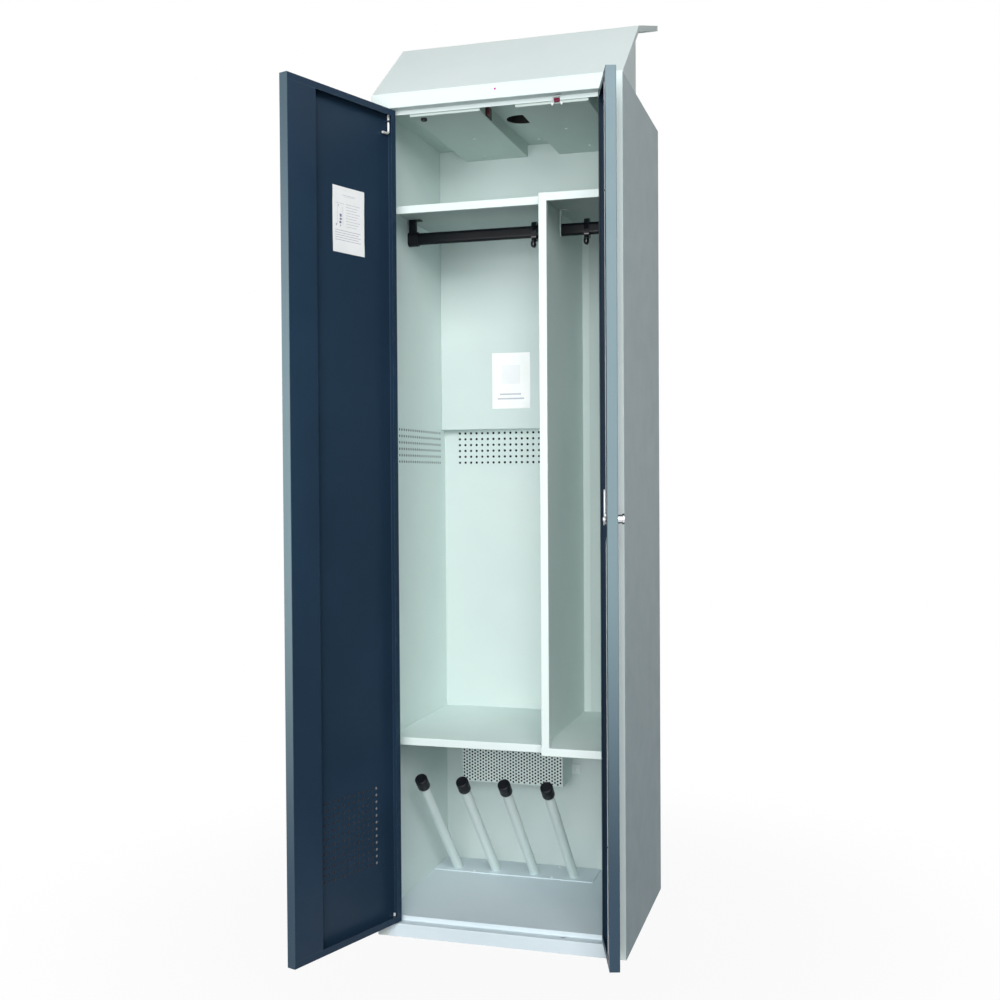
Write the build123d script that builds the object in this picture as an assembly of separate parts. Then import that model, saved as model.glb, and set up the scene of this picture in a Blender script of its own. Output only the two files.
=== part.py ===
from build123d import *
from math import atan2, cos, radians, sin, tan
import os

# Free-standing drying cabinet for work clothes and boots: a folded-sheet body, two unequal doors,
# a sloped hood over the exhaust fan, a heater behind a guard and four tubes for wet boots.
# Millimetres. X is right, Y is back, Z is up. The origin is the centre of the base, on the floor.

# Body
width = 600.0
depth = 500.0
height = 1990.0
sheet = 1.0               # thickness of every steel sheet
bend = 2.0                # outside radius of a folded edge
wall_cavity = 10.0        # from the outer skin to the face of the inner lining
stile = 29.0              # width of the front frame beside the doors
rebate = 25.0             # depth of the frame, from the front to the door stop
stop_lip = 14.0           # width of the door stop inside the frame
fascia = 33.0             # height of the front frame above the doors
fascia_stop = 10.0        # how far the door stop hangs below the fascia
sill = 31.0               # height of the front frame below the doors
floor_height = 42.0
ceiling_drop = 17.0       # from the top of the body to the ceiling inside
base_flange = 13.0

# Inside
duct_depth = 29.0         # how far the rear ducts stand out from the rear lining
duct_bottom = 1219.0
hat_space = 249.0         # from the top shelves up to the top of the body
low_shelf = 463.0         # height of the upper side of the lower shelves
shelf_edge = 19.0
shelf_return = 11.0       # stiffening return behind a shelf's or the partition's front edge
left_setback = 59.0       # from the front of the body to the left shelves' edge
right_setback = 28.0      # and to the partition and the right shelves' edge
partition_offset = 9.0    # from the middle of the gap between the leaves to the partition's left face
partition_flange = 19.0
hole_pitch = 16.0
hole_radius = 3.5
hole_sides = 8            # holes in sheet are drawn as octagons, which keeps the facets few
rear_hole_rows, rear_hole_columns = 6, 19
rear_holes_top = 1210.0
rear_holes_from_lining = 187.0         # from the left lining to the middle of the holes

# Ceiling trays
tray_width = 172.0
tray_drop = 32.0
tray_front = 29.0         # from the front of the body to the trays
left_tray_centre = -128.0
right_tray_centre = 130.0
left_tray_screws = ((4.0, 0.0), (-20.0, 166.0))   # X from the tray's centre line, and Y
right_tray_screws = ((11.0, 145.0), (-13.0, -20.0))
ceiling_screws = ((1.0, 164.0), (16.0, 169.0))

# Exhaust fan
exhaust_x, exhaust_y = 4.0, -18.0
exhaust_radius = 37.5
exhaust_plate = 104.0     # side of the square plate round the exhaust, flush in both sheets
fan_side, fan_height = 92.0, 25.4
fan_bore = 43.0
fan_corner = 5.0
fan_screw_radius = 2.2
fan_plate = 4.0           # thickness of the motor plate and of its four arms
arm_width = 5.0
hub_radius = 19.0
shaft_radius = 1.5
blade_tip = 40.5
blade_count = 7
root_chord, root_pitch = 18.0, 48.0
tip_chord, tip_pitch = 24.0, 30.0
blade_thickness = 1.4

# Switches, thermostat, lamp and supply
switch_y = -151.0         # centre of the rocker switch on the left tray's inner side
switch_length, switch_height = 46.0, 28.0
switch_depth = 12.0       # of the housing behind the tray's side
bezel = 2.0
bezel_rim = 3.7
rocker_length, rocker_height = 37.0, 21.0
rocker_tilt = 9.0
rocker_gap = 0.6
rocker_crest, rocker_valley, rocker_root = 4.6, 2.2, 4.0
trunnion_radius, trunnion_length = 1.4, 0.9
dial_from_side, dial_y = 28.0, -201.0   # X from the left tray's outer side
dial_radius, dial_height = 7.5, 6.0
flute_radius, flute_count = 1.2, 6
spindle_radius = 4.0
spindle_reach = 8.0
thermostat_side, thermostat_height = 34.0, 16.0
door_switch_offset = 13.0 # from the right tray's centre line
plunger_width, plunger_height = 12.0, 9.0
plunger_length = 10.0
plunger_travel = 3.0
plunger_lift = 2.5        # of the plunger above the tray's floor
housing_wall = 4.0
lamp_x, lamp_radius = 4.0, 2.5
lamp_length, lamp_flange = 12.0, 4.0
lamp_dome = 1.5
terminal_pitch, terminal_count = 9.0, 6
terminal_depth, terminal_height = 20.0, 15.0
gland_inset, gland_drop = 85.0, 45.0   # from the side and from the top of the body
gland_bore = 5.0
gland_thread = 7.5
gland_nut, gland_dome = 13.5, 12.0     # across the corners, halved
nut_height, dome_height, stub_height = 6.0, 10.0, 8.0

# Hood
hood_fold_depth, hood_fold_rise = 216.0, 176.0
hood_rise = 274.0
hood_flange = 14.0
hood_return = 8.0         # of the front slope, back over the top of the body
cheek_depth = 169.0
cheek_flange = 12.0

# Rails and hooks
rail_height, rail_thickness, rail_wall = 30.0, 15.0, 1.5
rail_depth = 220.0        # from the front of the body to the rails' centre
rail_drop = 49.0          # from the top shelf to the rails' centre
bracket_length = 26.0
bracket_wall = 3.0
bracket_end = 2.0         # thickness of a bracket's closed end
stem_width, stem_depth = 18.0, 10.0
foot_length, foot_depth = 32.0, 18.0
holder_gap, holder_thickness = 7.0, 1.5   # the right rail's left holder, beside the partition
holder_width, holder_foot, holder_margin = 22.0, 16.0, 3.0
spigot_length = 12.0
left_hook_offset, right_hook_offset = 58.5, 73.5   # from the partition's left face
hook_width = 12.0
hook_slack_height, hook_slack_depth = 3.0, 2.0
hook_wall_height, hook_wall_depth = 8.0, 3.5
hook_drop, hook_reach, hook_rise = 14.0, 15.0, 11.0
hook_wire, hook_ball = 2.6, 4.5

# Boot tubes
tube_count, tube_pitch = 4, 106.0
tubes_from_lining = 217.0 # from the left lining to the middle of the four tubes
tube_radius, tube_wall, tube_length = 12.5, 1.5, 415.0
tube_lean = 43.5          # degrees from upright, towards the door
tube_foot = 408.0         # from the front of the body to the foot on the plate
cap_radius, cap_length, cap_overlap = 15.5, 34.0, 28.0
cap_edge = 3.0
plate_width, plate_depth, plate_thickness = 432.0, 104.0, 2.0
plate_front = 372.0
plate_screw_inset = 9.0

# Heater
guard_from_lining, guard_width = 79.0, 274.0
guard_bottom, guard_height, guard_depth = 282.0, 158.0, 107.0
tab_length, tab_height, tab_thickness = 24.0, 26.0, 1.5
tab_lift = 11.0           # of the tabs above the guard's bottom
heater_radius, heater_pitch, heater_legs = 4.25, 40.0, 3
heater_bend = 18.0
heater_inset = 22.0       # from the guard's ends to the element
screw_head, screw_rise = 3.6, 2.2

# Doors
door_thickness = 23.0
door_gap = 4.0            # between a leaf and the frame, all round
meeting_gap = 3.0         # between the two leaves
left_leaf = 354.0         # width of the left leaf; the right leaf takes what is left
door_lip = 15.0
free_lip = 25.0           # lip beside the lock, on the right leaf
stiffener_width, stiffener_foot = 88.0, 12.0
pivot_inset = 7.0         # from a leaf's hinge edge and from its outer face to the pivot
pin_radius = 3.0
running_gap = 0.05        # round each pin
side_gap = 0.3            # between faces that slide or turn past each other
left_open, right_open = 109.3, 106.6
door_hole_rows, door_hole_columns = 12, 12
door_holes_from_hinge, door_holes_bottom = 62.0, 186.0

# Hinge bolts
bolt_foot, bolt_engagement = 21.0, 9.0
bolt_drop = 53.0          # from a leaf's top edge down to the bolt's foot
guide_drop, guide_size, guide_thickness = 26.0, 14.0, 2.0
washer_radius = 6.0
pin_stand = 18.0          # length of the lower hinge pins above the door's bottom edge
pin_seat = 12.0           # length of the lower hinge pins inside the sill
low_guide_drop = 8.0      # from the lower pins' tips down to their guides
pin_tip = 0.8

# Lock
lock_from_edge, lock_height = 48.0, 998.0   # X from the right leaf's free edge
barrel_radius, barrel_depth = 9.5, 13.0
barrel_flange, barrel_rim = 1.5, 2.5
nut_radius, nut_thickness = 14.0, 4.0
knob_radius, knob_length, knob_ring = 11.5, 16.2, 4.5
knob_neck = 9.5
knob_groove = 1.6
lock_spindle = 4.0
crank = 12.0              # from the lock's axis to each rod's pin, and to the rods' line
crank_pin = 2.5
cam_thickness, cam_clearance = 2.5, 0.7
cam_hub, cam_boss = 9.0, 4.5
boss_height = 2.0
lever_width = 10.0
tongue_length, tongue_width = 58.0, 12.0
rod_radius, rod_plane = 3.0, 18.0
rod_swing = 90.0          # turn of the knob, degrees
fork_thickness = 3.0
fork_wall = 2.6
fork_spare = 0.7          # between a fork and its pin
joggle_start, joggle_end = 26.0, 52.0  # below the lock's axis
joggle_radius = 14.0
rod_guide_inset = 250.0   # from the leaf's top and bottom edges to the rods' guides
rod_guide_width = 18.0
slot_length, slot_width = 14.0, 8.0

# Derived places
front, back = -depth / 2, depth / 2
frame_x = width / 2 - stile
lining_x = width / 2 - wall_cavity
lining_back = back - wall_cavity
duct_y = lining_back - duct_depth
stop_y = front + rebate
ceiling = height - ceiling_drop
top_shelf = height - hat_space
opening_top = height - fascia
door_top, door_bottom = opening_top - door_gap, sill + door_gap
leaf_x = frame_x - door_gap
right_leaf = 2 * leaf_x - meeting_gap - left_leaf
inner_face = front + door_thickness
pivot_x, pivot_y = leaf_x - pivot_inset, front + pivot_inset
partition_left = left_leaf + meeting_gap / 2 - leaf_x + partition_offset
partition_right = partition_left + partition_flange
rail_y, rail_z = front + rail_depth, top_shelf - rail_drop
tray_bottom = ceiling - tray_drop
lock_x = leaf_x - right_leaf + lock_from_edge
rod_x = lock_x + crank
rod_y = front + rod_plane
cam_y = inner_face + cam_clearance
pin_drop = crank * sin(radians(rod_swing / 2))
pin_reach = crank * cos(radians(rod_swing / 2))
fork_top = crank_pin + fork_spare + fork_wall / 2
tray_y = front + tray_front
switch_z = tray_bottom + tray_drop / 2
dial_x = left_tray_centre - tray_width / 2 + dial_from_side
door_switch_x = right_tray_centre + door_switch_offset
gland_x, gland_z = width / 2 - gland_inset, height - gland_drop
left_hook_x, right_hook_x = partition_left - left_hook_offset, partition_left + right_hook_offset
tube_centre = tubes_from_lining - lining_x
guard_left = guard_from_lining - lining_x
guard_right = guard_left + guard_width


def block(x, y, z):
    """A solid between two X, two Y and two Z values."""
    size = [high - low for low, high in (x, y, z)]
    centre = [(high + low) / 2 for low, high in (x, y, z)]
    return Pos(*centre) * Box(*size)


def folded(points, plane, length, radius=bend):
    """A folded sheet: the thickness lies to the left of the path through the points."""
    path = FilletPolyline(*points, radius=radius)
    return extrude(plane * make_face(offset(path, amount=sheet, side=Side.LEFT)), amount=length)


def pan(x, y, z, opening, wall=sheet):
    """A shallow tray with rounded folds, open towards +Y or +Z."""
    outer = block(x, y, z)
    closed = outer.faces().sort_by(opening)[0]
    outer = fillet(closed.edges(), bend)
    reach = 2 * wall
    inner_y = (y[0] + wall, y[1] + reach) if opening == Axis.Y else (y[0] + wall, y[1] - wall)
    inner_z = (z[0] + wall, z[1] + reach) if opening == Axis.Z else (z[0] + wall, z[1] - wall)
    inner = block((x[0] + wall, x[1] - wall), inner_y, inner_z)
    floor = inner.faces().sort_by(opening)[0]
    return outer - fillet(floor.edges(), bend - wall)


def rod_y_axis(x, y, z, radius):
    """A round bar along Y, from the first to the second Y value."""
    return Pos(x, (y[0] + y[1]) / 2, z) * Rot(90, 0, 0) * Cylinder(radius, y[1] - y[0])


def rod_z_axis(x, y, z, radius):
    """A round bar along Z, from the first to the second Z value."""
    return Pos(x, y, (z[0] + z[1]) / 2) * Cylinder(radius, z[1] - z[0])


def bent_bar(points, radius, bend_radius):
    """A round bar along a path of straight runs joined by arcs."""
    path = FilletPolyline(*points, radius=bend_radius)
    section = Plane(origin=path @ 0, z_dir=path % 0) * Circle(radius)
    return sweep(section, path)


def perforations(columns, rows):
    """A grid of hole outlines, centred on the sketch plane's origin."""
    hole = RegularPolygon(hole_radius, hole_sides)
    return [place * hole for place in GridLocations(hole_pitch, hole_pitch, columns, rows)]


# Body -----------------------------------------------------------------------

def base_pan():
    points = [(-width / 2 + sheet, base_flange), (-width / 2 + sheet, 0),
              (width / 2 - sheet, 0), (width / 2 - sheet, base_flange)]
    plane = Plane(origin=(0, lining_back, 0), x_dir=(1, 0, 0), z_dir=(0, -1, 0))
    return folded(points, plane, lining_back - (stop_y + sheet))


def side_panel():
    """Left side: a flat skin, flush behind the upright of the front frame that is folded round the stile."""
    return side_skin(), side_stile()


def side_skin():
    return block((-width / 2, -width / 2 + sheet), (stop_y, back), (0, height))


def side_stile():
    """Upright of the front frame, with its door stop cut short at both ends."""
    points = [(-width / 2, stop_y), (-width / 2, front), (-frame_x, front), (-frame_x, stop_y),
              (-frame_x + stop_lip, stop_y)]
    stile_solid = folded(points, Plane.XY, height)
    lip = (-frame_x, -frame_x + stop_lip + bend)
    lip_y = (stop_y - bend, stop_y + 2 * sheet)
    stile_solid -= block(lip, lip_y, (opening_top - fascia_stop, height + sheet))
    return stile_solid - block(lip, lip_y, (-sheet, floor_height))


def rear_panel():
    """Rear of the body, with a flange along each side and the hole for the cable gland."""
    x = width / 2 - sheet
    points = [(x, lining_back), (x, back), (-x, back), (-x, lining_back)]
    panel = folded(points, Plane.XY.offset(bend), height - sheet - bend)
    return panel - rod_y_axis(gland_x, (lining_back + sheet, back + sheet), gland_z, gland_thread)


def top_panel():
    """Top of the body, folded down in front into the fascia and the upper door stop."""
    points = [(back, height), (front, height), (front, opening_top),
              (stop_y, opening_top), (stop_y, opening_top - fascia_stop)]
    panel = folded(points, Plane.YZ.offset(-frame_x), 2 * frame_x)
    for side in (-1, 1):
        edges = sorted((side * frame_x, side * (width / 2 - sheet)))
        panel += block(edges, (stop_y + sheet, back), (height - sheet, height))
    panel -= exhaust_square((ceiling, height + sheet))
    panel -= rod_y_axis(lamp_x, (front - sheet, front + 2 * sheet), height - fascia / 3, lamp_radius)
    for side in (-1, 1):
        panel -= rod_z_axis(side * pivot_x, pivot_y, (opening_top - sheet, opening_top + 2 * sheet),
                            pin_radius + running_gap)
    panel -= strike_slot(opening_top - sheet)
    return panel - switch_window()


def exhaust_square(z):
    return block(around(exhaust_x, exhaust_plate), around(exhaust_y, exhaust_plate), z)


def exhaust_hole(z):
    return rod_z_axis(exhaust_x, exhaust_y, z, exhaust_radius)


def top_exhaust_plate():
    """Square plate with the round exhaust, flush in the top of the body."""
    z = (height - sheet, height)
    return exhaust_square(z) - exhaust_hole((ceiling, height + sheet))


def ceiling_exhaust_plate():
    """Square plate with the exhaust and its collar, flush in the ceiling."""
    plate = exhaust_square((ceiling, ceiling + sheet))
    plate += rod_z_axis(exhaust_x, exhaust_y, (ceiling, height - sheet), exhaust_radius + sheet)
    return plate - exhaust_hole((ceiling - sheet, height))


def strike_slot(z):
    """Oblong hole that a lock rod enters."""
    outline = Pos(rod_x, rod_y, z) * SlotOverall(slot_length, slot_width)
    return extrude(outline, amount=3 * sheet)


def switch_window():
    """Notch in the upper stop, the ceiling's flange and the right tray's front for the plunger."""
    half = plunger_width / 2 + bend
    return block((door_switch_x - half, door_switch_x + half), (stop_y - bend, tray_y + 2 * sheet),
                 (tray_bottom + bend, plunger_z()[1] + bend))


def floor_pan():
    """Floor, folded down in front into the lower stop and the sill."""
    points = [(lining_back, sheet), (lining_back, floor_height), (stop_y, floor_height),
              (stop_y, sill), (front, sill), (front, 0)]
    pan_solid = folded(points, Plane.YZ.offset(-frame_x), 2 * frame_x)
    reach = lining_x + sheet
    for side in (-1, 1):
        edges = sorted((side * frame_x, side * reach))
        flange = sorted((side * lining_x, side * reach))
        pan_solid += block(edges, (stop_y + sheet, lining_back), (floor_height - sheet, floor_height))
        pan_solid += block(flange, (stop_y + sheet, lining_back), (sheet, floor_height))
        pan_solid -= rod_z_axis(side * pivot_x, pivot_y, (sill - 2 * sheet, sill + sheet), pin_radius)
    return pan_solid - strike_slot(sill - 2 * sheet)


def side_lining():
    """Left lining: the sheet along the side, and the strip that joins it to the door stop."""
    z = (floor_height, ceiling)
    lining = block((-lining_x - sheet, -lining_x), (stop_y + sheet, lining_back), z)
    strip = block((-lining_x, -frame_x + stop_lip), (stop_y + sheet, stop_y + 2 * sheet), z)
    return lining, strip


def rear_lining():
    plane = Plane(origin=(0, lining_back + sheet, 0), x_dir=(1, 0, 0), z_dir=(0, -1, 0))
    face = Pos(0, height / 2) * Rectangle(2 * (lining_x + sheet), height - 2 * sheet)
    holes_z = rear_holes_top - (rear_hole_rows - 1) * hole_pitch / 2
    face -= [Pos(rear_holes_from_lining - lining_x, holes_z) * hole
             for hole in perforations(rear_hole_columns, rear_hole_rows)]
    return extrude(plane * face, amount=sheet)


def ceiling_panel():
    """Ceiling with its front flange and a square cut-out for the exhaust's plate."""
    points = [(stop_y + 2 * sheet, opening_top - fascia_stop), (stop_y + 2 * sheet, ceiling),
              (lining_back, ceiling)]
    reach = lining_x + sheet
    panel = folded(points, Plane.YZ.offset(-reach), 2 * reach)
    for side in (-1, 1):
        edge = sorted((side * (frame_x - stop_lip), side * (reach + sheet)))
        panel -= block(edge, (stop_y, stop_y + 2 * sheet + bend),
                       (opening_top - fascia_stop - sheet, ceiling + 2 * sheet))
    panel -= exhaust_square((ceiling - sheet, ceiling + 2 * sheet))
    return panel - switch_window()


def duct_cover(x, z):
    return pan(x, (duct_y, lining_back), z, Axis.Y)


def shelf(x, setback, back_y):
    """A shelf folded down in front, with a stiffening return under the edge."""
    y = front + setback
    points = [(back_y, 0), (y, 0), (y, -shelf_edge), (y + shelf_return, -shelf_edge)]
    return folded(points, Plane.YZ.offset(x[0]), x[1] - x[0])


def left_shelf(z, back_y):
    return Pos(0, 0, z) * shelf((-lining_x, partition_left), left_setback, back_y)


def right_top_shelf():
    return Pos(0, 0, top_shelf) * shelf((partition_right, lining_x), right_setback, lining_back)


def right_low_shelf():
    return Pos(0, 0, low_shelf) * shelf((partition_left, lining_x), right_setback, lining_back)


def partition():
    """Upright channel between the compartments, its flanges towards the right, closed on top."""
    y = front + right_setback
    points = [(partition_right, lining_back), (partition_left, lining_back), (partition_left, y),
              (partition_right, y), (partition_right, y + shelf_return)]
    channel = folded(points, Plane.XY.offset(low_shelf), top_shelf - low_shelf)
    cover = block((partition_left + sheet, partition_right), (y + sheet, lining_back - sheet),
                  (top_shelf - sheet, top_shelf))
    return channel + cover


# Hood -----------------------------------------------------------------------

hood_front_slope = atan2(hood_fold_rise, hood_fold_depth)
hood_roof_slope = atan2(hood_rise - hood_fold_rise, depth - hood_fold_depth)


def hood_cover():
    """Sloped front and roof of the hood in one sheet, with flanges along the roof's open sides."""
    fold = (front + hood_fold_depth, height + hood_fold_rise)
    rear = (back, height + hood_rise)
    points = [(back, rear[1] - hood_flange), rear, fold, (front, height), (front + hood_return, height)]
    cover = folded(points, Plane.YZ.offset(-width / 2), width)
    drop = hood_flange / cos(hood_roof_slope)
    start = (front + cheek_depth, height + cheek_depth * tan(hood_front_slope))
    skin = sheet / 2
    edge = Polyline((start[0], start[1] - skin), (fold[0], fold[1] - skin), (rear[0] - bend, rear[1] - bend),
                    (rear[0] - bend, rear[1] - drop), (fold[0], fold[1] - drop),
                    (start[0], start[1] - drop), close=True)
    for x in (-width / 2, width / 2 - sheet):
        cover += extrude(Plane.YZ.offset(x) * make_face(edge), amount=sheet)
    return cover


def hood_cheek():
    """Triangle that closes the left side of the hood under its sloped front, with two flanges."""
    under = sheet / cos(hood_front_slope)
    nose_y, rear_y = front + hood_return, front + cheek_depth
    nose_z = height + hood_return * tan(hood_front_slope) - under
    top_z = height + cheek_depth * tan(hood_front_slope) - under
    outline = Polyline((nose_y, height), (rear_y, height), (rear_y, top_z), (nose_y, nose_z), close=True)
    cheek = extrude(Plane.YZ.offset(-width / 2) * make_face(outline), amount=sheet)
    inner = (-width / 2, -width / 2 + cheek_flange)
    cheek += block(inner, (rear_y - sheet, rear_y), (height, top_z - sheet))
    return cheek + block(inner, (nose_y, rear_y), (height, height + sheet))


# Trays, switches and exhaust --------------------------------------------------

def ceiling_tray(centre):
    x = (centre - tray_width / 2, centre + tray_width / 2)
    return pan(x, (tray_y, duct_y), (tray_bottom, ceiling), Axis.Z)


def control_tray():
    """Left tray, with cut-outs for the rocker switch and the thermostat's spindle."""
    tray = ceiling_tray(left_tray_centre)
    side = left_tray_centre + tray_width / 2
    tray -= block((side - bend, side + sheet), around(switch_y, switch_length - bezel_rim),
                  around(switch_z, switch_height - bezel_rim))
    return tray - rod_z_axis(dial_x, dial_y, (tray_bottom - sheet, tray_bottom + bend), spindle_radius)


def supply_tray():
    return ceiling_tray(right_tray_centre) - switch_window()


def around(middle, length):
    return (middle - length / 2, middle + length / 2)


def switch_frame():
    """Bezel and housing of the rocker switch, in the left tray's inner side."""
    side = left_tray_centre + tray_width / 2
    rim = block((side, side + bezel), around(switch_y, switch_length), around(switch_z, switch_height))
    rim = fillet(rim.faces().sort_by(Axis.X)[-1].edges(), bezel / 2)
    housing = block((side - switch_depth, side), around(switch_y, switch_length - bezel_rim),
                    around(switch_z, switch_height - bezel_rim))
    window = block((side - switch_depth + bezel_rim, side + 2 * bezel),
                   around(switch_y, rocker_length + 2 * rocker_gap),
                   around(switch_z, rocker_height + 2 * side_gap))
    sockets = trunnion(trunnion_radius + running_gap, trunnion_length + running_gap)
    return rim + housing - window - sockets


def trunnion(radius, length):
    """Upright pin that the rocker turns about; its length is what enters each side of the frame."""
    side = left_tray_centre + tray_width / 2
    span = rocker_height + 2 * side_gap + 2 * length
    return rod_z_axis(side, switch_y, around(switch_z, span), radius)


def switch_rocker():
    """Rocker with a hollowed face, tilted to one side of the upright axis that it turns about."""
    half, heel = rocker_length / 2, -rocker_valley / 2
    outline = Polyline((-half, rocker_crest), (0, rocker_valley), (half, rocker_crest), (half, heel),
                       (0, -rocker_root), (-half, heel), close=True)
    rocker = extrude(make_face(outline), amount=rocker_height / 2, both=True)
    side = left_tray_centre + tray_width / 2
    rocker = Pos(side, switch_y, switch_z) * Rot(0, 0, rocker_tilt - 90) * rocker
    return rocker + trunnion(trunnion_radius, trunnion_length)


def thermostat_dial():
    """Knob under the left tray, with a grip of shallow flutes and its spindle."""
    dial = rod_z_axis(0, 0, (-dial_height, -side_gap), dial_radius)
    dial = chamfer(dial.faces().sort_by(Axis.Z)[0].edges(), sheet)
    flute = rod_z_axis(dial_radius + flute_radius / 2, 0, (-2 * dial_height, -bend), flute_radius)
    dial -= [Rot(0, 0, 360 / flute_count * step) * flute for step in range(flute_count)]
    spindle = rod_z_axis(0, 0, (-sheet, spindle_reach), spindle_radius - running_gap)
    return Pos(dial_x, dial_y, tray_bottom) * (dial + spindle)


def thermostat():
    """Body of the thermostat, on the left tray's floor; the dial's spindle enters it."""
    body = block(around(dial_x, thermostat_side), around(dial_y, thermostat_side),
                 (tray_bottom + sheet, tray_bottom + sheet + thermostat_height))
    body = fillet(body.edges().filter_by(Axis.Z), thermostat_side / 8)
    return body - rod_z_axis(dial_x, dial_y, (tray_bottom, tray_bottom + spindle_reach + side_gap),
                             spindle_radius)


def terminal_block():
    """Row of cable clamps on the right tray's floor, each with a screw well and two cable ways."""
    z = (tray_bottom + sheet, tray_bottom + sheet + terminal_height)
    length = terminal_count * terminal_pitch
    y = duct_y - 2 * terminal_depth
    row = block(around(right_tray_centre, length), around(y, terminal_depth), z)
    for step in range(terminal_count):
        x = right_tray_centre + terminal_pitch * (step - (terminal_count - 1) / 2)
        row -= rod_z_axis(x, y, (z[0] + terminal_height / 2, z[1] + sheet), terminal_pitch / 4)
        row -= rod_y_axis(x, around(y, 2 * terminal_depth), z[0] + terminal_height / 4, terminal_pitch / 4)
    return row


def plunger_z():
    low = tray_bottom + plunger_lift
    return (low, low + plunger_height)


def door_switch_plunger():
    y = inner_face + cam_clearance
    plunger = block(around(door_switch_x, plunger_width), (y, y + plunger_length), plunger_z())
    return fillet(plunger.faces().sort_by(Axis.Y)[0].edges(), bend - side_gap)


def door_switch_housing():
    """Housing of the door switch, behind the right tray's front; the plunger slides in its well."""
    z = plunger_z()
    depth_of_well = cam_clearance + plunger_length + plunger_travel
    y = (tray_y + bend, inner_face + depth_of_well + housing_wall)
    body = block(around(door_switch_x, plunger_width + 2 * housing_wall), y,
                 (tray_bottom + sheet, z[1] + housing_wall))
    well = block(around(door_switch_x, plunger_width + 2 * side_gap), (tray_y, inner_face + depth_of_well),
                 (z[0] - side_gap, z[1] + side_gap))
    return body - well


def indicator_lamp():
    z = height - fascia / 3
    lens = rod_y_axis(lamp_x, (front - sheet, front - sheet + lamp_length), z, lamp_radius)
    lens = fillet(lens.faces().sort_by(Axis.Y)[0].edges(), lamp_dome)
    return lens + rod_y_axis(lamp_x, (front + sheet, front + 2 * sheet), z, lamp_flange)


def fan_frame():
    """Square frame of the axial exhaust fan, with its motor plate held by four arms."""
    z = (height, height + fan_height)
    half = fan_side / 2
    frame = block((-half, half), (-half, half), z)
    frame = fillet(frame.edges().filter_by(Axis.Z), fan_corner)
    frame -= rod_z_axis(0, 0, (z[0] - sheet, z[1] + sheet), fan_bore)
    corner = half - fan_corner
    frame -= [Pos(x, y, z[0]) * Cylinder(fan_screw_radius, 4 * fan_height)
              for x in (-corner, corner) for y in (-corner, corner)]
    arm = block((0, fan_bore + sheet), around(0, arm_width), (z[1] - fan_plate, z[1]))
    plate = rod_z_axis(0, 0, (z[1] - fan_plate, z[1]), hub_radius)
    frame += [Rot(0, 0, 45 + 90 * step) * arm for step in range(4)] + [plate]
    bearing = rod_z_axis(0, 0, (z[1] - 2 * fan_plate, z[1] - sheet), shaft_radius + running_gap)
    return Pos(exhaust_x, exhaust_y, 0) * (frame - bearing)


def fan_impeller():
    """Hub, shaft and twisted blades of the fan."""
    z = (height + bend, height + fan_height - fan_plate - sheet)
    hub = rod_z_axis(0, 0, z, hub_radius)
    hub = fillet(hub.faces().sort_by(Axis.Z)[0].edges(), bend)
    root = Plane(origin=(hub_radius - bend, 0, 0), x_dir=(0, 1, 0), z_dir=(1, 0, 0))
    tip = Plane(origin=(blade_tip, 0, 0), x_dir=(0, 1, 0), z_dir=(1, 0, 0))
    sections = [root * Rot(0, 0, root_pitch) * Rectangle(root_chord, blade_thickness),
                tip * Rot(0, 0, tip_pitch) * Rectangle(tip_chord, blade_thickness)]
    blade = Pos(0, 0, (z[0] + z[1]) / 2) * loft(sections)
    wheel = hub + [Rot(0, 0, 360 / blade_count * step) * blade for step in range(blade_count)]
    wheel += rod_z_axis(0, 0, (z[1] - sheet, z[1] + fan_plate), shaft_radius)
    return Pos(exhaust_x, exhaust_y, 0) * wheel


def cable_gland():
    """Gland for the supply cable, through the rear panel behind the upper duct."""
    nut = extrude(RegularPolygon(gland_nut, 6), amount=nut_height)
    dome = Pos(0, 0, nut_height) * extrude(RegularPolygon(gland_dome, 6), amount=dome_height)
    dome = fillet(dome.faces().sort_by(Axis.Z)[-1].edges(), bend)
    stub = rod_z_axis(0, 0, (-stub_height, 0), gland_thread)
    bore = rod_z_axis(0, 0, (-2 * stub_height, 2 * (nut_height + dome_height)), gland_bore)
    return Pos(gland_x, back, gland_z) * Rot(-90, 0, 0) * (nut + dome + stub - bore)


# Rails, hooks, boot tubes and heater -------------------------------------------

def oval(height_over_all, thickness):
    """Upright oval in the YZ plane."""
    return Plane.YZ * Rot(0, 0, 90) * SlotOverall(height_over_all, thickness)


def rail(x):
    length = x[1] - x[0]
    tube = oval(rail_height, rail_thickness) - oval(rail_height - 2 * rail_wall,
                                                    rail_thickness - 2 * rail_wall)
    return Pos(x[0], rail_y, rail_z) * extrude(tube, amount=length)


def rail_bracket(x, towards):
    """Socket round a rail's end with its stem and foot under the shelf; towards is +1 or -1."""
    outer = oval(rail_height + 2 * bracket_wall, rail_thickness + 2 * bracket_wall)
    socket = extrude(outer, amount=bracket_length * towards)
    seat = extrude(oval(rail_height, rail_thickness), amount=bracket_length * towards)
    socket -= Pos(bracket_end * towards, 0, 0) * seat
    top = rail_drop - sheet
    stem_x = sorted((bracket_end * towards, (bracket_end + stem_width) * towards))
    stem = block(stem_x, around(0, stem_depth), (rail_height / 2 + sheet, top))
    foot_x = sorted((bracket_end * towards, (bracket_end + foot_length) * towards))
    foot = block(foot_x, around(0, foot_depth), (top - bracket_wall, top))
    foot = fillet(foot.edges().filter_by(Axis.Z), bend)
    return Pos(x, rail_y, rail_z) * (socket + stem + foot)


left_rail_ends = (-lining_x, partition_left)
right_rail_ends = (partition_left + sheet, lining_x)


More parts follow.
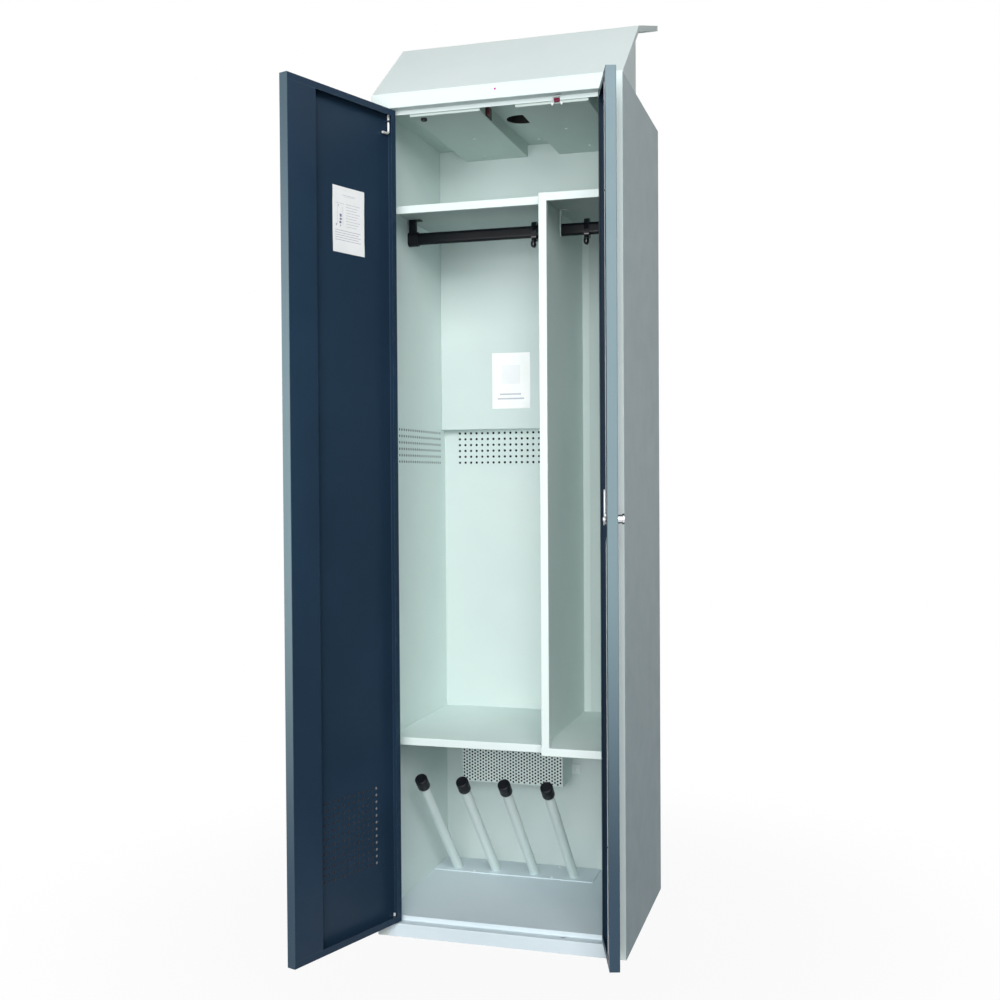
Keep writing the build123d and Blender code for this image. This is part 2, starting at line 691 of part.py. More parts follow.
holder_x = right_rail_ends[0] + holder_gap
left_rail_x = (left_rail_ends[0] + bracket_end, left_rail_ends[1] - bracket_end)
right_rail_x = (holder_x + holder_thickness, right_rail_ends[1] - bracket_end)


def rail_brackets():
    return [rail_bracket(left_rail_ends[0], 1), rail_bracket(left_rail_ends[1], -1),
            rail_bracket(right_rail_ends[1], -1)]


def rail_holder():
    """Folded tab under the right shelf whose spigot carries the right rail's left end."""
    y = around(rail_y, holder_width)
    low, top = rail_z - rail_height / 2 - holder_margin, top_shelf - sheet
    tab = block((holder_x, holder_x + holder_thickness), y, (low, top))
    tab = fillet(tab.faces().sort_by(Axis.Z)[0].edges().filter_by(Axis.X), 2 * bend)
    tab += block((holder_x, holder_x + holder_foot), y, (top - holder_thickness, top))
    bore = oval(rail_height - 2 * rail_wall, rail_thickness - 2 * rail_wall)
    return tab + Pos(holder_x + holder_thickness, rail_y, rail_z) * extrude(bore, amount=spigot_length)


def rail_hook(x):
    """Plastic hook that hangs on a rail by a closed loop and slides along it."""
    hole_height, hole_depth = rail_height + hook_slack_height, rail_thickness + hook_slack_depth
    outer_height = hole_height + 2 * hook_wall_height
    outer = oval(outer_height, hole_depth + 2 * hook_wall_depth)
    hole = Pos(0, 0, side_gap - hook_slack_height / 2) * oval(hole_height, hole_depth)
    loop = extrude(outer - hole, amount=hook_width / 2, both=True)
    top, low = -outer_height / 2 + hook_wire, -outer_height / 2 - hook_drop
    points = [(0, 0, top), (0, 0, low), (0, -hook_reach, low), (0, -hook_reach, low + hook_rise)]
    arm = bent_bar(points, hook_wire, hook_reach / 2 - sheet)
    ball = Pos(0, -hook_reach, low + hook_rise + hook_ball / 2) * Sphere(hook_ball)
    return Pos(x, rail_y, rail_z) * (loop + arm + ball)


tube_xs = [tube_centre + tube_pitch * (step - (tube_count - 1) / 2) for step in range(tube_count)]
plate_top = floor_height + plate_thickness


def along_tube(x):
    """Place at a tube's foot whose Z axis runs up the leaning tube."""
    return Pos(x, front + tube_foot, plate_top) * Rot(tube_lean, 0, 0)


def drying_tube(x):
    """Leaning tube, cut level where it stands on the plate."""
    below = tube_radius * tan(radians(tube_lean)) + sheet
    length = tube_length + below
    tube = Pos(0, 0, (tube_length - below) / 2) * (Cylinder(tube_radius, length)
                                                   - Cylinder(tube_radius - tube_wall, length))
    reach = 3 * tube_radius
    y = front + tube_foot
    cut = block((x - reach, x + reach), (y - reach, y + reach), (plate_top - reach, plate_top))
    return along_tube(x) * tube - cut


def tube_cap(x):
    start = tube_length - cap_overlap
    cap = Pos(0, 0, start + cap_length / 2) * Cylinder(cap_radius, cap_length)
    cap = fillet(cap.faces().sort_by(Axis.Z)[-1].edges(), cap_edge)
    bore = Pos(0, 0, start + cap_overlap / 2) * Cylinder(tube_radius, cap_overlap)
    return along_tube(x) * (cap - bore)


def tube_plate():
    y = (front + plate_front, front + plate_front + plate_depth)
    plate = block(around(tube_centre, plate_width), y, (floor_height, plate_top))
    return fillet(plate.edges().filter_by(Axis.Z), bend)


def heater_guard():
    """Guard over the heater: a box open to the rear lining, with a screw tab on each side."""
    y = (lining_back - guard_depth, lining_back)
    z = (guard_bottom, guard_bottom + guard_height)
    guard = pan((guard_left, guard_right), y, z, Axis.Y)
    for side, edge in ((-1, guard_left), (1, guard_right)):
        x = sorted((edge - side * sheet, edge + side * tab_length))
        tab_z = (guard_bottom + tab_lift, guard_bottom + tab_lift + tab_height)
        tab = block(x, (lining_back - tab_thickness, lining_back), tab_z)
        outer_edges = tab.faces().sort_by(Axis.X)[-1 if side > 0 else 0].edges().filter_by(Axis.Y)
        guard += fillet(outer_edges, bend)
    return guard


def heater_element():
    """Tubular heating element in a flat serpentine, its two ends set against the rear lining."""
    y = lining_back - guard_depth / 2
    left, right = guard_left + heater_inset, guard_right - heater_inset
    z = guard_bottom + (guard_height - (heater_legs - 1) * heater_pitch) / 2
    points = [(right, lining_back, z), (right, y, z)]
    for leg in range(heater_legs):
        far, near = (left, right) if leg % 2 == 0 else (right, left)
        if leg:
            points.append((near, y, z + leg * heater_pitch))
        points.append((far, y, z + leg * heater_pitch))
    points.append((points[-1][0], lining_back, points[-1][2]))
    return bent_bar(points, heater_radius, heater_bend)


def screw(place):
    """Pan-head screw whose head stands on the place's XY plane."""
    head = Cylinder(screw_head, screw_rise, align=(Align.CENTER, Align.CENTER, Align.MIN))
    return place * fillet(head.faces().sort_by(Axis.Z)[-1].edges(), screw_rise / 2)


def fixing_screws():
    """Screws of the tubes' plate, of the heater's guard, of the two trays and of the ceiling."""
    places = []
    for x in (tube_xs[0] + tube_pitch / 2, tube_xs[-1] - tube_pitch / 2):
        for y in (plate_front + plate_screw_inset, plate_front + plate_depth - plate_screw_inset):
            places.append(Pos(x, front + y, plate_top))
    for x in (guard_left - tab_length / 2, guard_right + tab_length / 2):
        z = guard_bottom + tab_lift + tab_height / 2
        places.append(Pos(x, lining_back - tab_thickness, z) * Rot(90, 0, 0))
    places += [Pos(left_tray_centre + x, y, tray_bottom) * Rot(180, 0, 0) for x, y in left_tray_screws]
    places += [Pos(right_tray_centre + x, y, tray_bottom) * Rot(180, 0, 0) for x, y in right_tray_screws]
    places += [Pos(x, y, ceiling) * Rot(180, 0, 0) for x, y in ceiling_screws]
    return [screw(place) for place in places]


# Doors, drawn closed -------------------------------------------------------------

def door_shell(x):
    """One leaf before its inner side is cut open: a hollow slab with rounded folds in front."""
    z = (door_bottom, door_top)
    slab = block(x, (front, inner_face), z)
    slab = fillet(slab.faces().sort_by(Axis.Y)[0].edges(), bend)
    inner = block((x[0] + sheet, x[1] - sheet), (front + sheet, inner_face - sheet),
                  (z[0] + sheet, z[1] - sheet))
    return slab - fillet(inner.faces().sort_by(Axis.Y)[0].edges(), bend - sheet)


def pivot_hole(side, z):
    return rod_z_axis(side * pivot_x, pivot_y, z, pin_radius + running_gap)


def hinge_guide(side, z):
    """Tab welded into the hinge corner that steadies a hinge bolt or pin."""
    edge = leaf_x - sheet
    x = sorted((side * edge, side * (edge - guide_size)))
    tab = block(x, (front + sheet, front + sheet + guide_size), (z, z + guide_thickness))
    return tab - pivot_hole(side, (z - 1, z + guide_thickness + 1))


def with_hinge_fittings(leaf, side):
    """Adds the holes and guides of a leaf's two hinges; side is -1 on the left and +1 on the right."""
    for z in (door_top - sheet, door_bottom):
        leaf -= pivot_hole(side, (z - sheet, z + 2 * sheet))
    leaf += hinge_guide(side, door_top - guide_drop)
    return leaf + hinge_guide(side, door_bottom + pin_stand - low_guide_drop)


def left_door_panel():
    x = (-leaf_x, -leaf_x + left_leaf)
    leaf = door_shell(x)
    leaf -= block((x[0] + door_lip, x[1] - sheet), (inner_face - bend, inner_face + sheet),
                  (door_bottom + door_lip, door_top - door_lip))
    span = (door_hole_columns - 1) * hole_pitch / 2
    rise = (door_hole_rows - 1) * hole_pitch / 2
    plane = Plane(origin=(x[0] + door_holes_from_hinge + span, front - sheet, door_holes_bottom + rise),
                  x_dir=(1, 0, 0), z_dir=(0, -1, 0))
    holes = Sketch() + perforations(door_hole_columns, door_hole_rows)
    leaf -= extrude(plane * holes, amount=-3 * sheet)
    return with_hinge_fittings(leaf, -1)


def left_door_stiffener():
    """Channel along the left leaf's free edge, flush with the lips."""
    edge = -leaf_x + left_leaf - sheet
    inner = edge + sheet - stiffener_width
    points = [(inner - stiffener_foot, front + sheet), (inner, front + sheet),
              (inner, inner_face - sheet), (edge, inner_face - sheet)]
    length = door_top - door_bottom - 2 * door_lip
    return folded(points, Plane.XY.offset(door_bottom + door_lip), length)


def right_door_panel():
    """Right leaf, with the hole for the lock and the guides of its rods."""
    x = (leaf_x - right_leaf, leaf_x)
    leaf = door_shell(x)
    leaf -= block((x[0] + free_lip, x[1] - door_lip), (inner_face - bend, inner_face + sheet),
                  (door_bottom + door_lip, door_top - door_lip))
    leaf -= rod_y_axis(lock_x, (front - sheet, front + bend), lock_height, barrel_radius)
    for z in (door_top, door_bottom):
        leaf -= rod_z_axis(rod_x, rod_y, (z - bend, z + bend), rod_radius + side_gap)
    for z in (door_top - rod_guide_inset, door_bottom + rod_guide_inset):
        tab = block(around(rod_x, rod_guide_width), (front + sheet, inner_face - sheet),
                    (z, z + guide_thickness))
        tab = fillet(tab.faces().sort_by(Axis.Y)[-1].edges().filter_by(Axis.Z), rod_radius)
        leaf += tab - rod_z_axis(rod_x, rod_y, (z - sheet, z + 2 * guide_thickness), rod_radius + side_gap)
    return with_hinge_fittings(leaf, 1)


def hinge_bolt(side):
    """L-shaped bolt that holds a leaf's upper corner; pulled down by its foot, it frees the leaf."""
    low = door_top - bolt_drop
    points = [(side * (pivot_x - bolt_foot), pivot_y, low), (side * pivot_x, pivot_y, low),
              (side * pivot_x, pivot_y, opening_top + bolt_engagement)]
    bolt = bent_bar(points, pin_radius, 2 * pin_radius + sheet)
    return chamfer(bolt.faces().sort_by(Axis.Z)[-1].edges(), pin_tip)


def lower_hinge_pins():
    pins = []
    for side in (-1, 1):
        pin = rod_z_axis(side * pivot_x, pivot_y, (sill - pin_seat, door_bottom + pin_stand), pin_radius)
        pins.append(chamfer(pin.faces().sort_by(Axis.Z)[-1].edges(), pin_tip))
    return pins


def hinge_washers():
    """Two washers on the lower pins, and two under the fascia round the hinge bolts."""
    washers = []
    for side in (-1, 1):
        for z in ((sill, door_bottom - side_gap), (door_top + side_gap, opening_top)):
            washer = rod_z_axis(side * pivot_x, pivot_y, z, washer_radius)
            washers.append(washer - pivot_hole(side, (z[0] - sheet, z[1] + sheet)))
    return washers


# Lock, drawn with the right leaf closed and the rods drawn back -------------------------

def lock_barrel():
    """Flanged barrel through the leaf's skin with its nut behind."""
    barrel = rod_y_axis(lock_x, (front, front + barrel_depth), lock_height, barrel_radius)
    flange = rod_y_axis(lock_x, (front - barrel_flange, front), lock_height, barrel_radius + barrel_rim)
    nut_plane = Plane(origin=(lock_x, front + sheet, lock_height), x_dir=(1, 0, 0), z_dir=(0, 1, 0))
    nut = extrude(nut_plane * RegularPolygon(nut_radius, 6), amount=nut_thickness)
    bore = rod_y_axis(lock_x, (front - 2 * barrel_flange, front + 2 * barrel_depth), lock_height,
                      lock_spindle + running_gap)
    return barrel + flange + nut - bore


def lock_knob():
    """Knob with a raised rim on a neck, and the spindle that carries the cam."""
    start = front - barrel_flange - side_gap
    end = start - knob_length
    neck = rod_y_axis(lock_x, (end, start), lock_height, knob_neck)
    head = rod_y_axis(lock_x, (end, end + knob_ring), lock_height, knob_radius)
    head = fillet(head.faces().sort_by(Axis.Y)[0].edges(), sheet)
    groove = block(around(lock_x, knob_groove), (end - sheet, end + sheet),
                   around(lock_height, 2 * knob_neck - bend))
    spindle = rod_y_axis(lock_x, (start - sheet, cam_y), lock_height, lock_spindle)
    return neck + head + spindle - groove


def lock_cam():
    """Cam plate: a tongue that reaches behind the left leaf, and a lever with a pin for each rod."""
    tongue = Pos(0, tongue_length / 2) * SlotOverall(tongue_length + tongue_width, tongue_width, rotation=90)
    lever = Rot(0, 0, -rod_swing / 2) * SlotOverall(2 * crank + lever_width, lever_width)
    outline = Circle(cam_hub) + tongue + lever
    plane = Plane(origin=(lock_x, cam_y, lock_height), x_dir=(1, 0, 0), z_dir=(0, -1, 0))
    cam = extrude(plane * outline, amount=-cam_thickness)
    cam += rod_y_axis(lock_x, (cam_y, cam_y + cam_thickness + boss_height), lock_height, cam_boss)
    for side in (-1, 1):
        cam += rod_y_axis(lock_x + side * pin_reach, (rod_y - fork_thickness, cam_y + sheet),
                          lock_height - side * pin_drop, crank_pin)
    return cam


def fork(side, pin_z):
    """Open fork at a rod's end, which straddles a cam pin and clears the spindle; side is +1 or -1."""
    gap = 2 * (crank_pin + fork_spare)
    mouth, end = pin_reach - crank_pin, crank + crank_pin + fork_spare
    body = Pos(end + fork_wall - crank, 0) * RectangleRounded(2 * crank, gap + 2 * fork_wall, fork_wall)
    way = Pos(end - crank, 0) * SlotOverall(2 * crank, gap)
    outline = body - way - Pos(mouth - crank, 0) * Rectangle(2 * crank, 4 * gap)
    plane = Plane(origin=(lock_x, rod_y, pin_z), x_dir=(side, 0, 0), z_dir=(0, -side, 0))
    return extrude(plane * outline, amount=fork_thickness / 2, both=True)


def upper_lock_rod():
    pin_z = lock_height - pin_drop
    top = door_top - sheet / 2
    rod = rod_z_axis(rod_x, rod_y, (pin_z + fork_top, top), rod_radius)
    rod = chamfer(rod.faces().sort_by(Axis.Z)[-1].edges(), pin_tip)
    return rod + fork(1, pin_z)


def lower_lock_rod():
    """Lower rod, cranked sideways below the lock to the line of the strikes."""
    pin_z = lock_height + pin_drop
    start_x = lock_x - crank
    points = [(start_x, rod_y, pin_z - fork_top), (start_x, rod_y, lock_height - joggle_start),
              (rod_x, rod_y, lock_height - joggle_end), (rod_x, rod_y, door_bottom + sheet / 2)]
    return bent_bar(points, rod_radius, joggle_radius) + fork(-1, pin_z)


# Assembly --------------------------------------------------------------------------

def mirrored(solid):
    return mirror(solid, about=Plane.YZ)


def opened(solid, side):
    """Swings a piece of a leaf from its closed place to where the leaf stands open."""
    axis = Axis((side * pivot_x, pivot_y, 0), (0, 0, 1))
    return solid.rotate(axis, -left_open if side < 0 else right_open)


def export(name, *solids):
    pieces = [piece for solid in solids for piece in solid.solids()]
    shape = pieces[0] if len(pieces) == 1 else Compound(children=pieces)
    export_step(shape, f"parts/{name}.step")


def main():
    os.makedirs("parts", exist_ok=True)

    export("base_pan", base_pan())
    panel, lining, cheek = side_panel(), side_lining(), hood_cheek()
    export("left_side_panel", *panel)
    export("right_side_panel", *[mirrored(solid) for solid in panel])
    export("left_lining", *lining)
    export("right_lining", *[mirrored(solid) for solid in lining])
    export("hood_left_cheek", cheek)
    export("hood_right_cheek", mirrored(cheek))
    export("hood_cover", hood_cover())
    export("rear_panel", rear_panel())
    export("top_panel", top_panel(), top_exhaust_plate())
    export("floor_pan", floor_pan())
    export("rear_lining", rear_lining())
    export("ceiling_panel", ceiling_panel(), ceiling_exhaust_plate())
    export("upper_duct_cover", duct_cover((-lining_x, lining_x), (top_shelf, ceiling)))
    export("lower_duct_cover", duct_cover((-lining_x, partition_left), (duct_bottom, top_shelf - sheet)))
    export("left_top_shelf", left_shelf(top_shelf, lining_back))
    export("left_low_shelf", left_shelf(low_shelf, lining_back))
    export("right_top_shelf", right_top_shelf())
    export("right_low_shelf", right_low_shelf())
    export("partition", partition())

    export("control_tray", control_tray())
    export("supply_tray", supply_tray())
    export("power_switch_frame", switch_frame())
    export("power_switch_rocker", switch_rocker())
    export("thermostat", thermostat())
    export("thermostat_dial", thermostat_dial())
    export("terminal_block", terminal_block())
    export("door_switch_housing", door_switch_housing())
    export("door_switch_plunger", door_switch_plunger())
    export("indicator_lamp", indicator_lamp())
    export("fan_frame", fan_frame())
    export("fan_impeller", fan_impeller())
    export("cable_gland", cable_gland())

    export("left_rail", rail(left_rail_x))
    export("right_rail", rail(right_rail_x))
    export("rail_brackets", *rail_brackets())
    export("rail_holder", rail_holder())
    export("left_rail_hook", rail_hook(left_hook_x))
    export("right_rail_hook", rail_hook(right_hook_x))
    export("tube_plate", tube_plate())
    for number, x in enumerate(tube_xs, 1):
        export(f"drying_tube_{number}", drying_tube(x))
    export("tube_caps", *[tube_cap(x) for x in tube_xs])
    export("heater_guard", heater_guard())
    export("heater_element", heater_element())
    export("fixing_screws", *fixing_screws())
    export("hinge_washers", *hinge_washers())
    export("lower_hinge_pins", *lower_hinge_pins())

    export("left_door_panel", opened(left_door_panel(), -1))
    export("left_door_stiffener", opened(left_door_stiffener(), -1))
    export("left_hinge_bolt", opened(hinge_bolt(-1), -1))
    export("right_door_panel", opened(right_door_panel(), 1))
    export("right_hinge_bolt", opened(hinge_bolt(1), 1))
    export("lock_barrel", opened(lock_barrel(), 1))
    export("lock_knob", opened(lock_knob(), 1))
    export("lock_cam", opened(lock_cam(), 1))
    export("upper_lock_rod", opened(upper_lock_rod(), 1))
    export("lower_lock_rod", opened(lower_lock_rod(), 1))


main()
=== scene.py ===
import bpy
import math
from mathutils import Matrix, Vector


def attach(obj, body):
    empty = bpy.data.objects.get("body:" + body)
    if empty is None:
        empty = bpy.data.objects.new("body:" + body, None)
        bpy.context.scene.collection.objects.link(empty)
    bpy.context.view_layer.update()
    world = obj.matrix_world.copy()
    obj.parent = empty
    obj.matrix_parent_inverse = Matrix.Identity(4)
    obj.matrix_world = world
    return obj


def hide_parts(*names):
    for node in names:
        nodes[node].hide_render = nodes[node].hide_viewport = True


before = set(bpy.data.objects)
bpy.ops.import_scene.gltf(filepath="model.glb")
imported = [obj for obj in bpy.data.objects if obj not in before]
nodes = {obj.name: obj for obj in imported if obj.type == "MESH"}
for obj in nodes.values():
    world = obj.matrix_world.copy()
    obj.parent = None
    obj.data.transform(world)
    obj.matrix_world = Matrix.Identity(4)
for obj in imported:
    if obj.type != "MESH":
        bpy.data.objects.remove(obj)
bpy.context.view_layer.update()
print("frame loaded:", len(nodes), "nodes")

cameraSettings = dict(place=(0.8022, -2.9528, 1.0897), yaw=-16.333, pitch=-1.068, roll=-0.362,
                      lens=44.06, sensor=36, near=0.05, far=60)


def addCamera(s):
    yaw, pitch, roll = (math.radians(s[key]) for key in ("yaw", "pitch", "roll"))
    ahead = Vector((math.sin(yaw) * math.cos(pitch), math.cos(yaw) * math.cos(pitch), math.sin(pitch)))
    right = Vector((math.cos(yaw), -math.sin(yaw), 0))
    up = right.cross(ahead)
    tiltedRight = math.cos(roll) * right + math.sin(roll) * up
    tiltedUp = math.cos(roll) * up - math.sin(roll) * right
    data = bpy.data.cameras.new("camera")
    data.lens, data.sensor_width = s["lens"], s["sensor"]
    data.clip_start, data.clip_end = s["near"], s["far"]
    camera = bpy.data.objects.new("camera", data)
    bpy.context.scene.collection.objects.link(camera)
    axes = Matrix((tiltedRight, tiltedUp, -ahead)).transposed().to_4x4()
    camera.matrix_world = Matrix.Translation(s["place"]) @ axes
    bpy.context.scene.camera = camera


addCamera(cameraSettings)
print("camera placed")


class Value:                       # a socket on which sums can be written
    def __init__(self, finish, socket):
        self.finish, self.socket = finish, socket

    def maths(self, operation, first, second, clamp=False):
        return self.finish.node("Math", {"operation": operation, "use_clamp": clamp}, {0: first, 1: second})

    def __add__(self, other):
        return self.maths("ADD", self, other)

    def __radd__(self, other):
        return self.maths("ADD", other, self)

    def __sub__(self, other):
        return self.maths("SUBTRACT", self, other)

    def __rsub__(self, other):
        return self.maths("SUBTRACT", other, self)

    def __mul__(self, other):
        return self.maths("MULTIPLY", self, other)

    def __rmul__(self, other):
        return self.maths("MULTIPLY", other, self)

    def __gt__(self, other):
        return self.maths("GREATER_THAN", self, other)

    def __lt__(self, other):
        return self.maths("LESS_THAN", self, other)

    def held(self):                # kept between 0 and 1
        return self.maths("ADD", self, 0, clamp=True)


class Finish:                      # a material, and the helpers that feed its Principled shader
    def __init__(self, name, **uniform):
        self.data = bpy.data.materials.new(name)
        self.data.use_nodes = True
        self.tree = self.data.node_tree
        self.shader = self.tree.nodes["Principled BSDF"]
        self.shade(**uniform)
        self.place = self.node("TexCoord", {}, {}, "Object")

    def node(self, kind, settings, inputs, output=0):
        made = self.tree.nodes.new("ShaderNode" + kind)
        for key, value in settings.items():
            setattr(made, key, value)
        for key, value in inputs.items():
            self.feed(made.inputs[key], value)
        return Value(self, made.outputs[output])

    def feed(self, socket, value):
        if isinstance(value, Value):
            self.tree.links.new(value.socket, socket)
        else:
            socket.default_value = value

    def shade(self, **sockets):
        for name, value in sockets.items():
            self.feed(self.shader.inputs[name.replace("_", " ")], value)
        return self

    def noise(self, scale, detail=2.0, roughness=0.5, stretch=None, seed=0.0):
        where = self.place
        if stretch:
            where = self.node("Mapping", {}, {"Vector": where, "Scale": stretch})
        return self.node("TexNoise", {"noise_dimensions": "4D"}, {
            "Vector": where, "W": seed, "Scale": scale, "Detail": detail, "Roughness": roughness})

    def axis(self, name):
        return self.node("SeparateXYZ", {}, {"Vector": self.place}, name)

    def between(self, value, low, high, start=0.0, end=1.0):
        return self.node("MapRange", {"clamp": True, "interpolation_type": "SMOOTHSTEP"},
                         {"Value": value, "From Min": low, "From Max": high, "To Min": start, "To Max": end})

    def mixed(self, factor, first, second):
        return self.node("Mix", {"data_type": "RGBA"}, {"Factor": factor, 6: first, 7: second}, 2)

    def bump(self, height, distance, strength=1.0, under=None):
        inputs = {"Height": height, "Distance": distance, "Strength": strength}
        if under is not None:
            inputs["Normal"] = under
        return self.node("Bump", {}, inputs)

    def edges(self, width):        # 1 on worn outer edges, 0 on flat faces
        soft = self.node("Bevel", {"samples": 4}, {"Radius": width})
        true = self.node("NewGeometry", {}, {}, "Normal")
        along = self.node("VectorMath", {"operation": "DOT_PRODUCT"}, {0: soft, 1: true}, "Value")
        return self.between(1 - along, 0.02, 0.25)


def rgb(code):                     # a colour written as in a paint chart, made linear
    channels = [int(code[i:i + 2], 16) / 255 for i in (0, 2, 4)]
    linear = [c / 12.92 if c <= 0.04045 else ((c + 0.055) / 1.055) ** 2.4 for c in channels]
    return (*linear, 1.0)


def powderCoat(name, shades, rough, peel, dust=0.0, seed=0.0, shine=0.5, over=None):
    f = Finish(name, IOR=1.5, Specular_IOR_Level=shine)
    base, cool, worn = map(rgb, shades)
    broad = f.noise(2.2, 3, seed=seed)
    smudge = f.noise(17, 5, 0.6, seed=seed + 3)
    grain = f.noise(2600, 1, seed=seed)
    scratch = f.noise(60, 6, 0.75, (1, 1, 0.12), seed + 7)
    tone = f.mixed(f.between(broad, 0.35, 0.68), base, cool)
    tone = f.mixed(f.between(grain, 0.55, 0.75, 0, 0.12), tone, worn)
    tone = f.mixed(f.between(scratch, 0.68, 0.76, 0, 0.3) * f.between(smudge, 0.5, 0.7), tone, worn)
    tone = f.mixed(f.edges(0.0008) * f.between(smudge, 0.3, 0.7, 0.15, 0.6), tone, worn)
    if dust:
        tone = f.mixed(f.between(f.axis("Z") + 0.02 * smudge, 0.0, 0.12, dust, 0), tone, rgb("8d8a84"))
    if over:
        mask, shade = over
        tone = f.mixed(mask(f), tone, rgb(shade))
    soft = f.noise(620, 2, 0.45, seed=seed + 1)
    fine = f.noise(1900, 1, seed=seed + 2)
    surface = f.bump(fine, 0.00003, 0.35, f.bump(soft, peel, 0.6))
    return f.shade(Base_Color=tone, Roughness=rough + 0.10 * f.between(smudge, 0.35, 0.7) + 0.05 * grain,
                   Normal=surface)


def metal(name, shades, rough, brushing, lines, seed=0.0, metallic=1.0, rimReflection=None):
    f = Finish(name, Metallic=metallic)
    base, tint = map(rgb, shades)
    patches = f.noise(55, 4, 0.6, seed=seed)
    brush = f.noise(lines, 3, 0.6, brushing, seed + 1)
    spots = f.between(f.noise(420, 2, seed=seed + 2), 0.62, 0.72, 0, 0.4)
    tone = f.mixed(f.between(patches, 0.35, 0.7), base, tint)
    tone = f.mixed(spots, tone, tuple(0.6 * c for c in base[:3]) + (1,))
    if rimReflection:                        # painted reflection: polished round metal is darkened at its rim, as if it mirrored the dark of the room
        facing = f.node("LayerWeight", {}, {"Blend": 0.5}, "Facing")
        tone = f.mixed(f.between(facing, 0.12, 0.42), tone, rgb(rimReflection))
    return f.shade(Base_Color=tone, Roughness=rough + 0.14 * patches + 0.10 * brush,
                   Normal=f.bump(brush, 0.00004, 0.35))


def plastic(name, shades, rough, grain, seed=0.0, **uniform):
    f = Finish(name, IOR=1.49, **uniform)
    base, pale = map(rgb, shades)
    patches = f.noise(40, 3, seed=seed)
    cells = f.node("TexVoronoi", {"feature": "DISTANCE_TO_EDGE"}, {"Vector": f.place, "Scale": 1600})
    wear = f.between(f.noise(130, 6, 0.7, seed=seed + 4), 0.63, 0.75, 0, 0.5)
    tone = f.mixed(f.between(patches, 0.35, 0.75, 0, 0.6), base, pale)
    tone = f.mixed(wear, tone, pale)
    return f.shade(Base_Color=tone, Roughness=rough + 0.16 * patches + 0.1 * wear,
                   Normal=f.bump(cells, grain, 0.4, f.bump(f.noise(300, 3, seed=seed), 0.00004, 0.3)))


def paper(name, lines):
    # lines: (left, right, bottom, top, darkness) bars in parts of the sheet's width and height
    f = Finish(name, IOR=1.45)
    uv = f.node("TexCoord", {}, {}, "UV")
    x = f.node("SeparateXYZ", {}, {"Vector": uv}, "X")
    y = f.node("SeparateXYZ", {}, {"Vector": uv}, "Y")
    fibres = f.noise(900, 4, 0.7)
    patches = f.noise(25, 3)
    tone = f.mixed(f.between(patches, 0.35, 0.7), rgb("ffffff"), rgb("f9fbfa"))
    ink = 0.0
    for left, right, bottom, top, dark in lines:
        ink = (x > left) * (x < right) * ((y > bottom) * (y < top)) * dark + ink
    tone = f.mixed((ink * f.between(fibres, 0.2, 0.5, 0.75, 1)).held(), tone, rgb("3a3f78"))
    return f.shade(Base_Color=tone, Roughness=0.5 + 0.15 * patches, Normal=f.bump(fibres, 0.00003, 0.4))


# where painted shade falls on outer sides and undersides, and where a painted sheen lies on the leaves' free
# folds
shadeSettings = dict(side=(0.2984, 0.2996), sideLevels=(0.2, 1.2), sideDepth=(0.85, 0.5),
                     down=(-0.98, -0.85), downDepth=0.55, foldLow=(0.15, 0.95), foldFoot=0.14,
                     foldHigh=(1.2, 2.0), foldReach=(0.0024, 0.0008))


def paintedSideShade(f):                  # painted shade on the broad outer faces, deeper towards the floor
    s = shadeSettings
    out = f.between(f.node("Math", {"operation": "ABSOLUTE"}, {0: f.axis("X")}), *s["side"])
    return out * f.between(f.axis("Z"), *s["sideLevels"], *s["sideDepth"])


def paintedUndersideShade(f):                  # faces that look down get a painted shade, darker than the paint around them
    s = shadeSettings
    down = f.node("SeparateXYZ", {}, {"Vector": f.node("NewGeometry", {}, {}, "Normal")}, "Z")
    return f.between(down, *s["down"], s["downDepth"], 0)


# the cabinet has one light-grey paint; the copies below are toned for the light each place gets
shellShades = "e1ecea", "dbe8e6", "f1f6f5"
bodyPaint = powderCoat("bodyPaint", shellShades, 0.42, 0.00006, dust=0.08, shine=0.2)
# the side panels carry painted shade on their outer faces
sidePaint = powderCoat("sidePaint", shellShades, 0.42, 0.00008, dust=0.08, shine=0.15,
                       over=(paintedSideShade, "8fa6ae"))
# the floor pan gets a bluer copy, a painted tint of the light
bluishLitBootPaint = powderCoat("bluishLitBootPaint", ("dbe8ee", "d4e3ea", "eef4f6"), 0.42, 0.00006, dust=0.05, shine=0.3)
# ceiling and trays get a darker copy, painted shade
shadedCeilingPaint = powderCoat("shadedCeilingPaint", ("c3d2cd", "bccbc6", "dbe6e2"), 0.44, 0.00006, seed=4)
# the linings and shelves get a greener copy of the paint, and painted shade where they look down
liningPaint = powderCoat("liningPaint", ("e1eeeb", "dbe9e6", "f0f6f4"), 0.42, 0.00006, seed=11,
                         over=(paintedUndersideShade, "6f7c7a"))
# the rear linings get a darker copy, painted shade
shadedRearPaint = powderCoat("shadedRearPaint", ("d5e2df", "cedcda", "e6eeec"), 0.44, 0.00006, seed=13, shine=0.3)

# pale: the share of the painted sheen on the free fold that is left at the top of the leaf
leftLeaf = dict(node="left_door_panel", pivot=(-0.260, -0.243), ahead=(-0.3305, -0.9438), pale=0.35,
                turn=-109.3)
rightLeaf = dict(node="right_door_panel", pivot=(0.260, -0.243), ahead=(0.2857, -0.9583), pale=1.0)


def alongLeaf(f, leaf):            # distance from a leaf's pivot along the open leaf
    (pivotX, pivotY), (aheadX, aheadY) = leaf["pivot"], leaf["ahead"]
    return (f.axis("X") - pivotX) * aheadX + (f.axis("Y") - pivotY) * aheadY


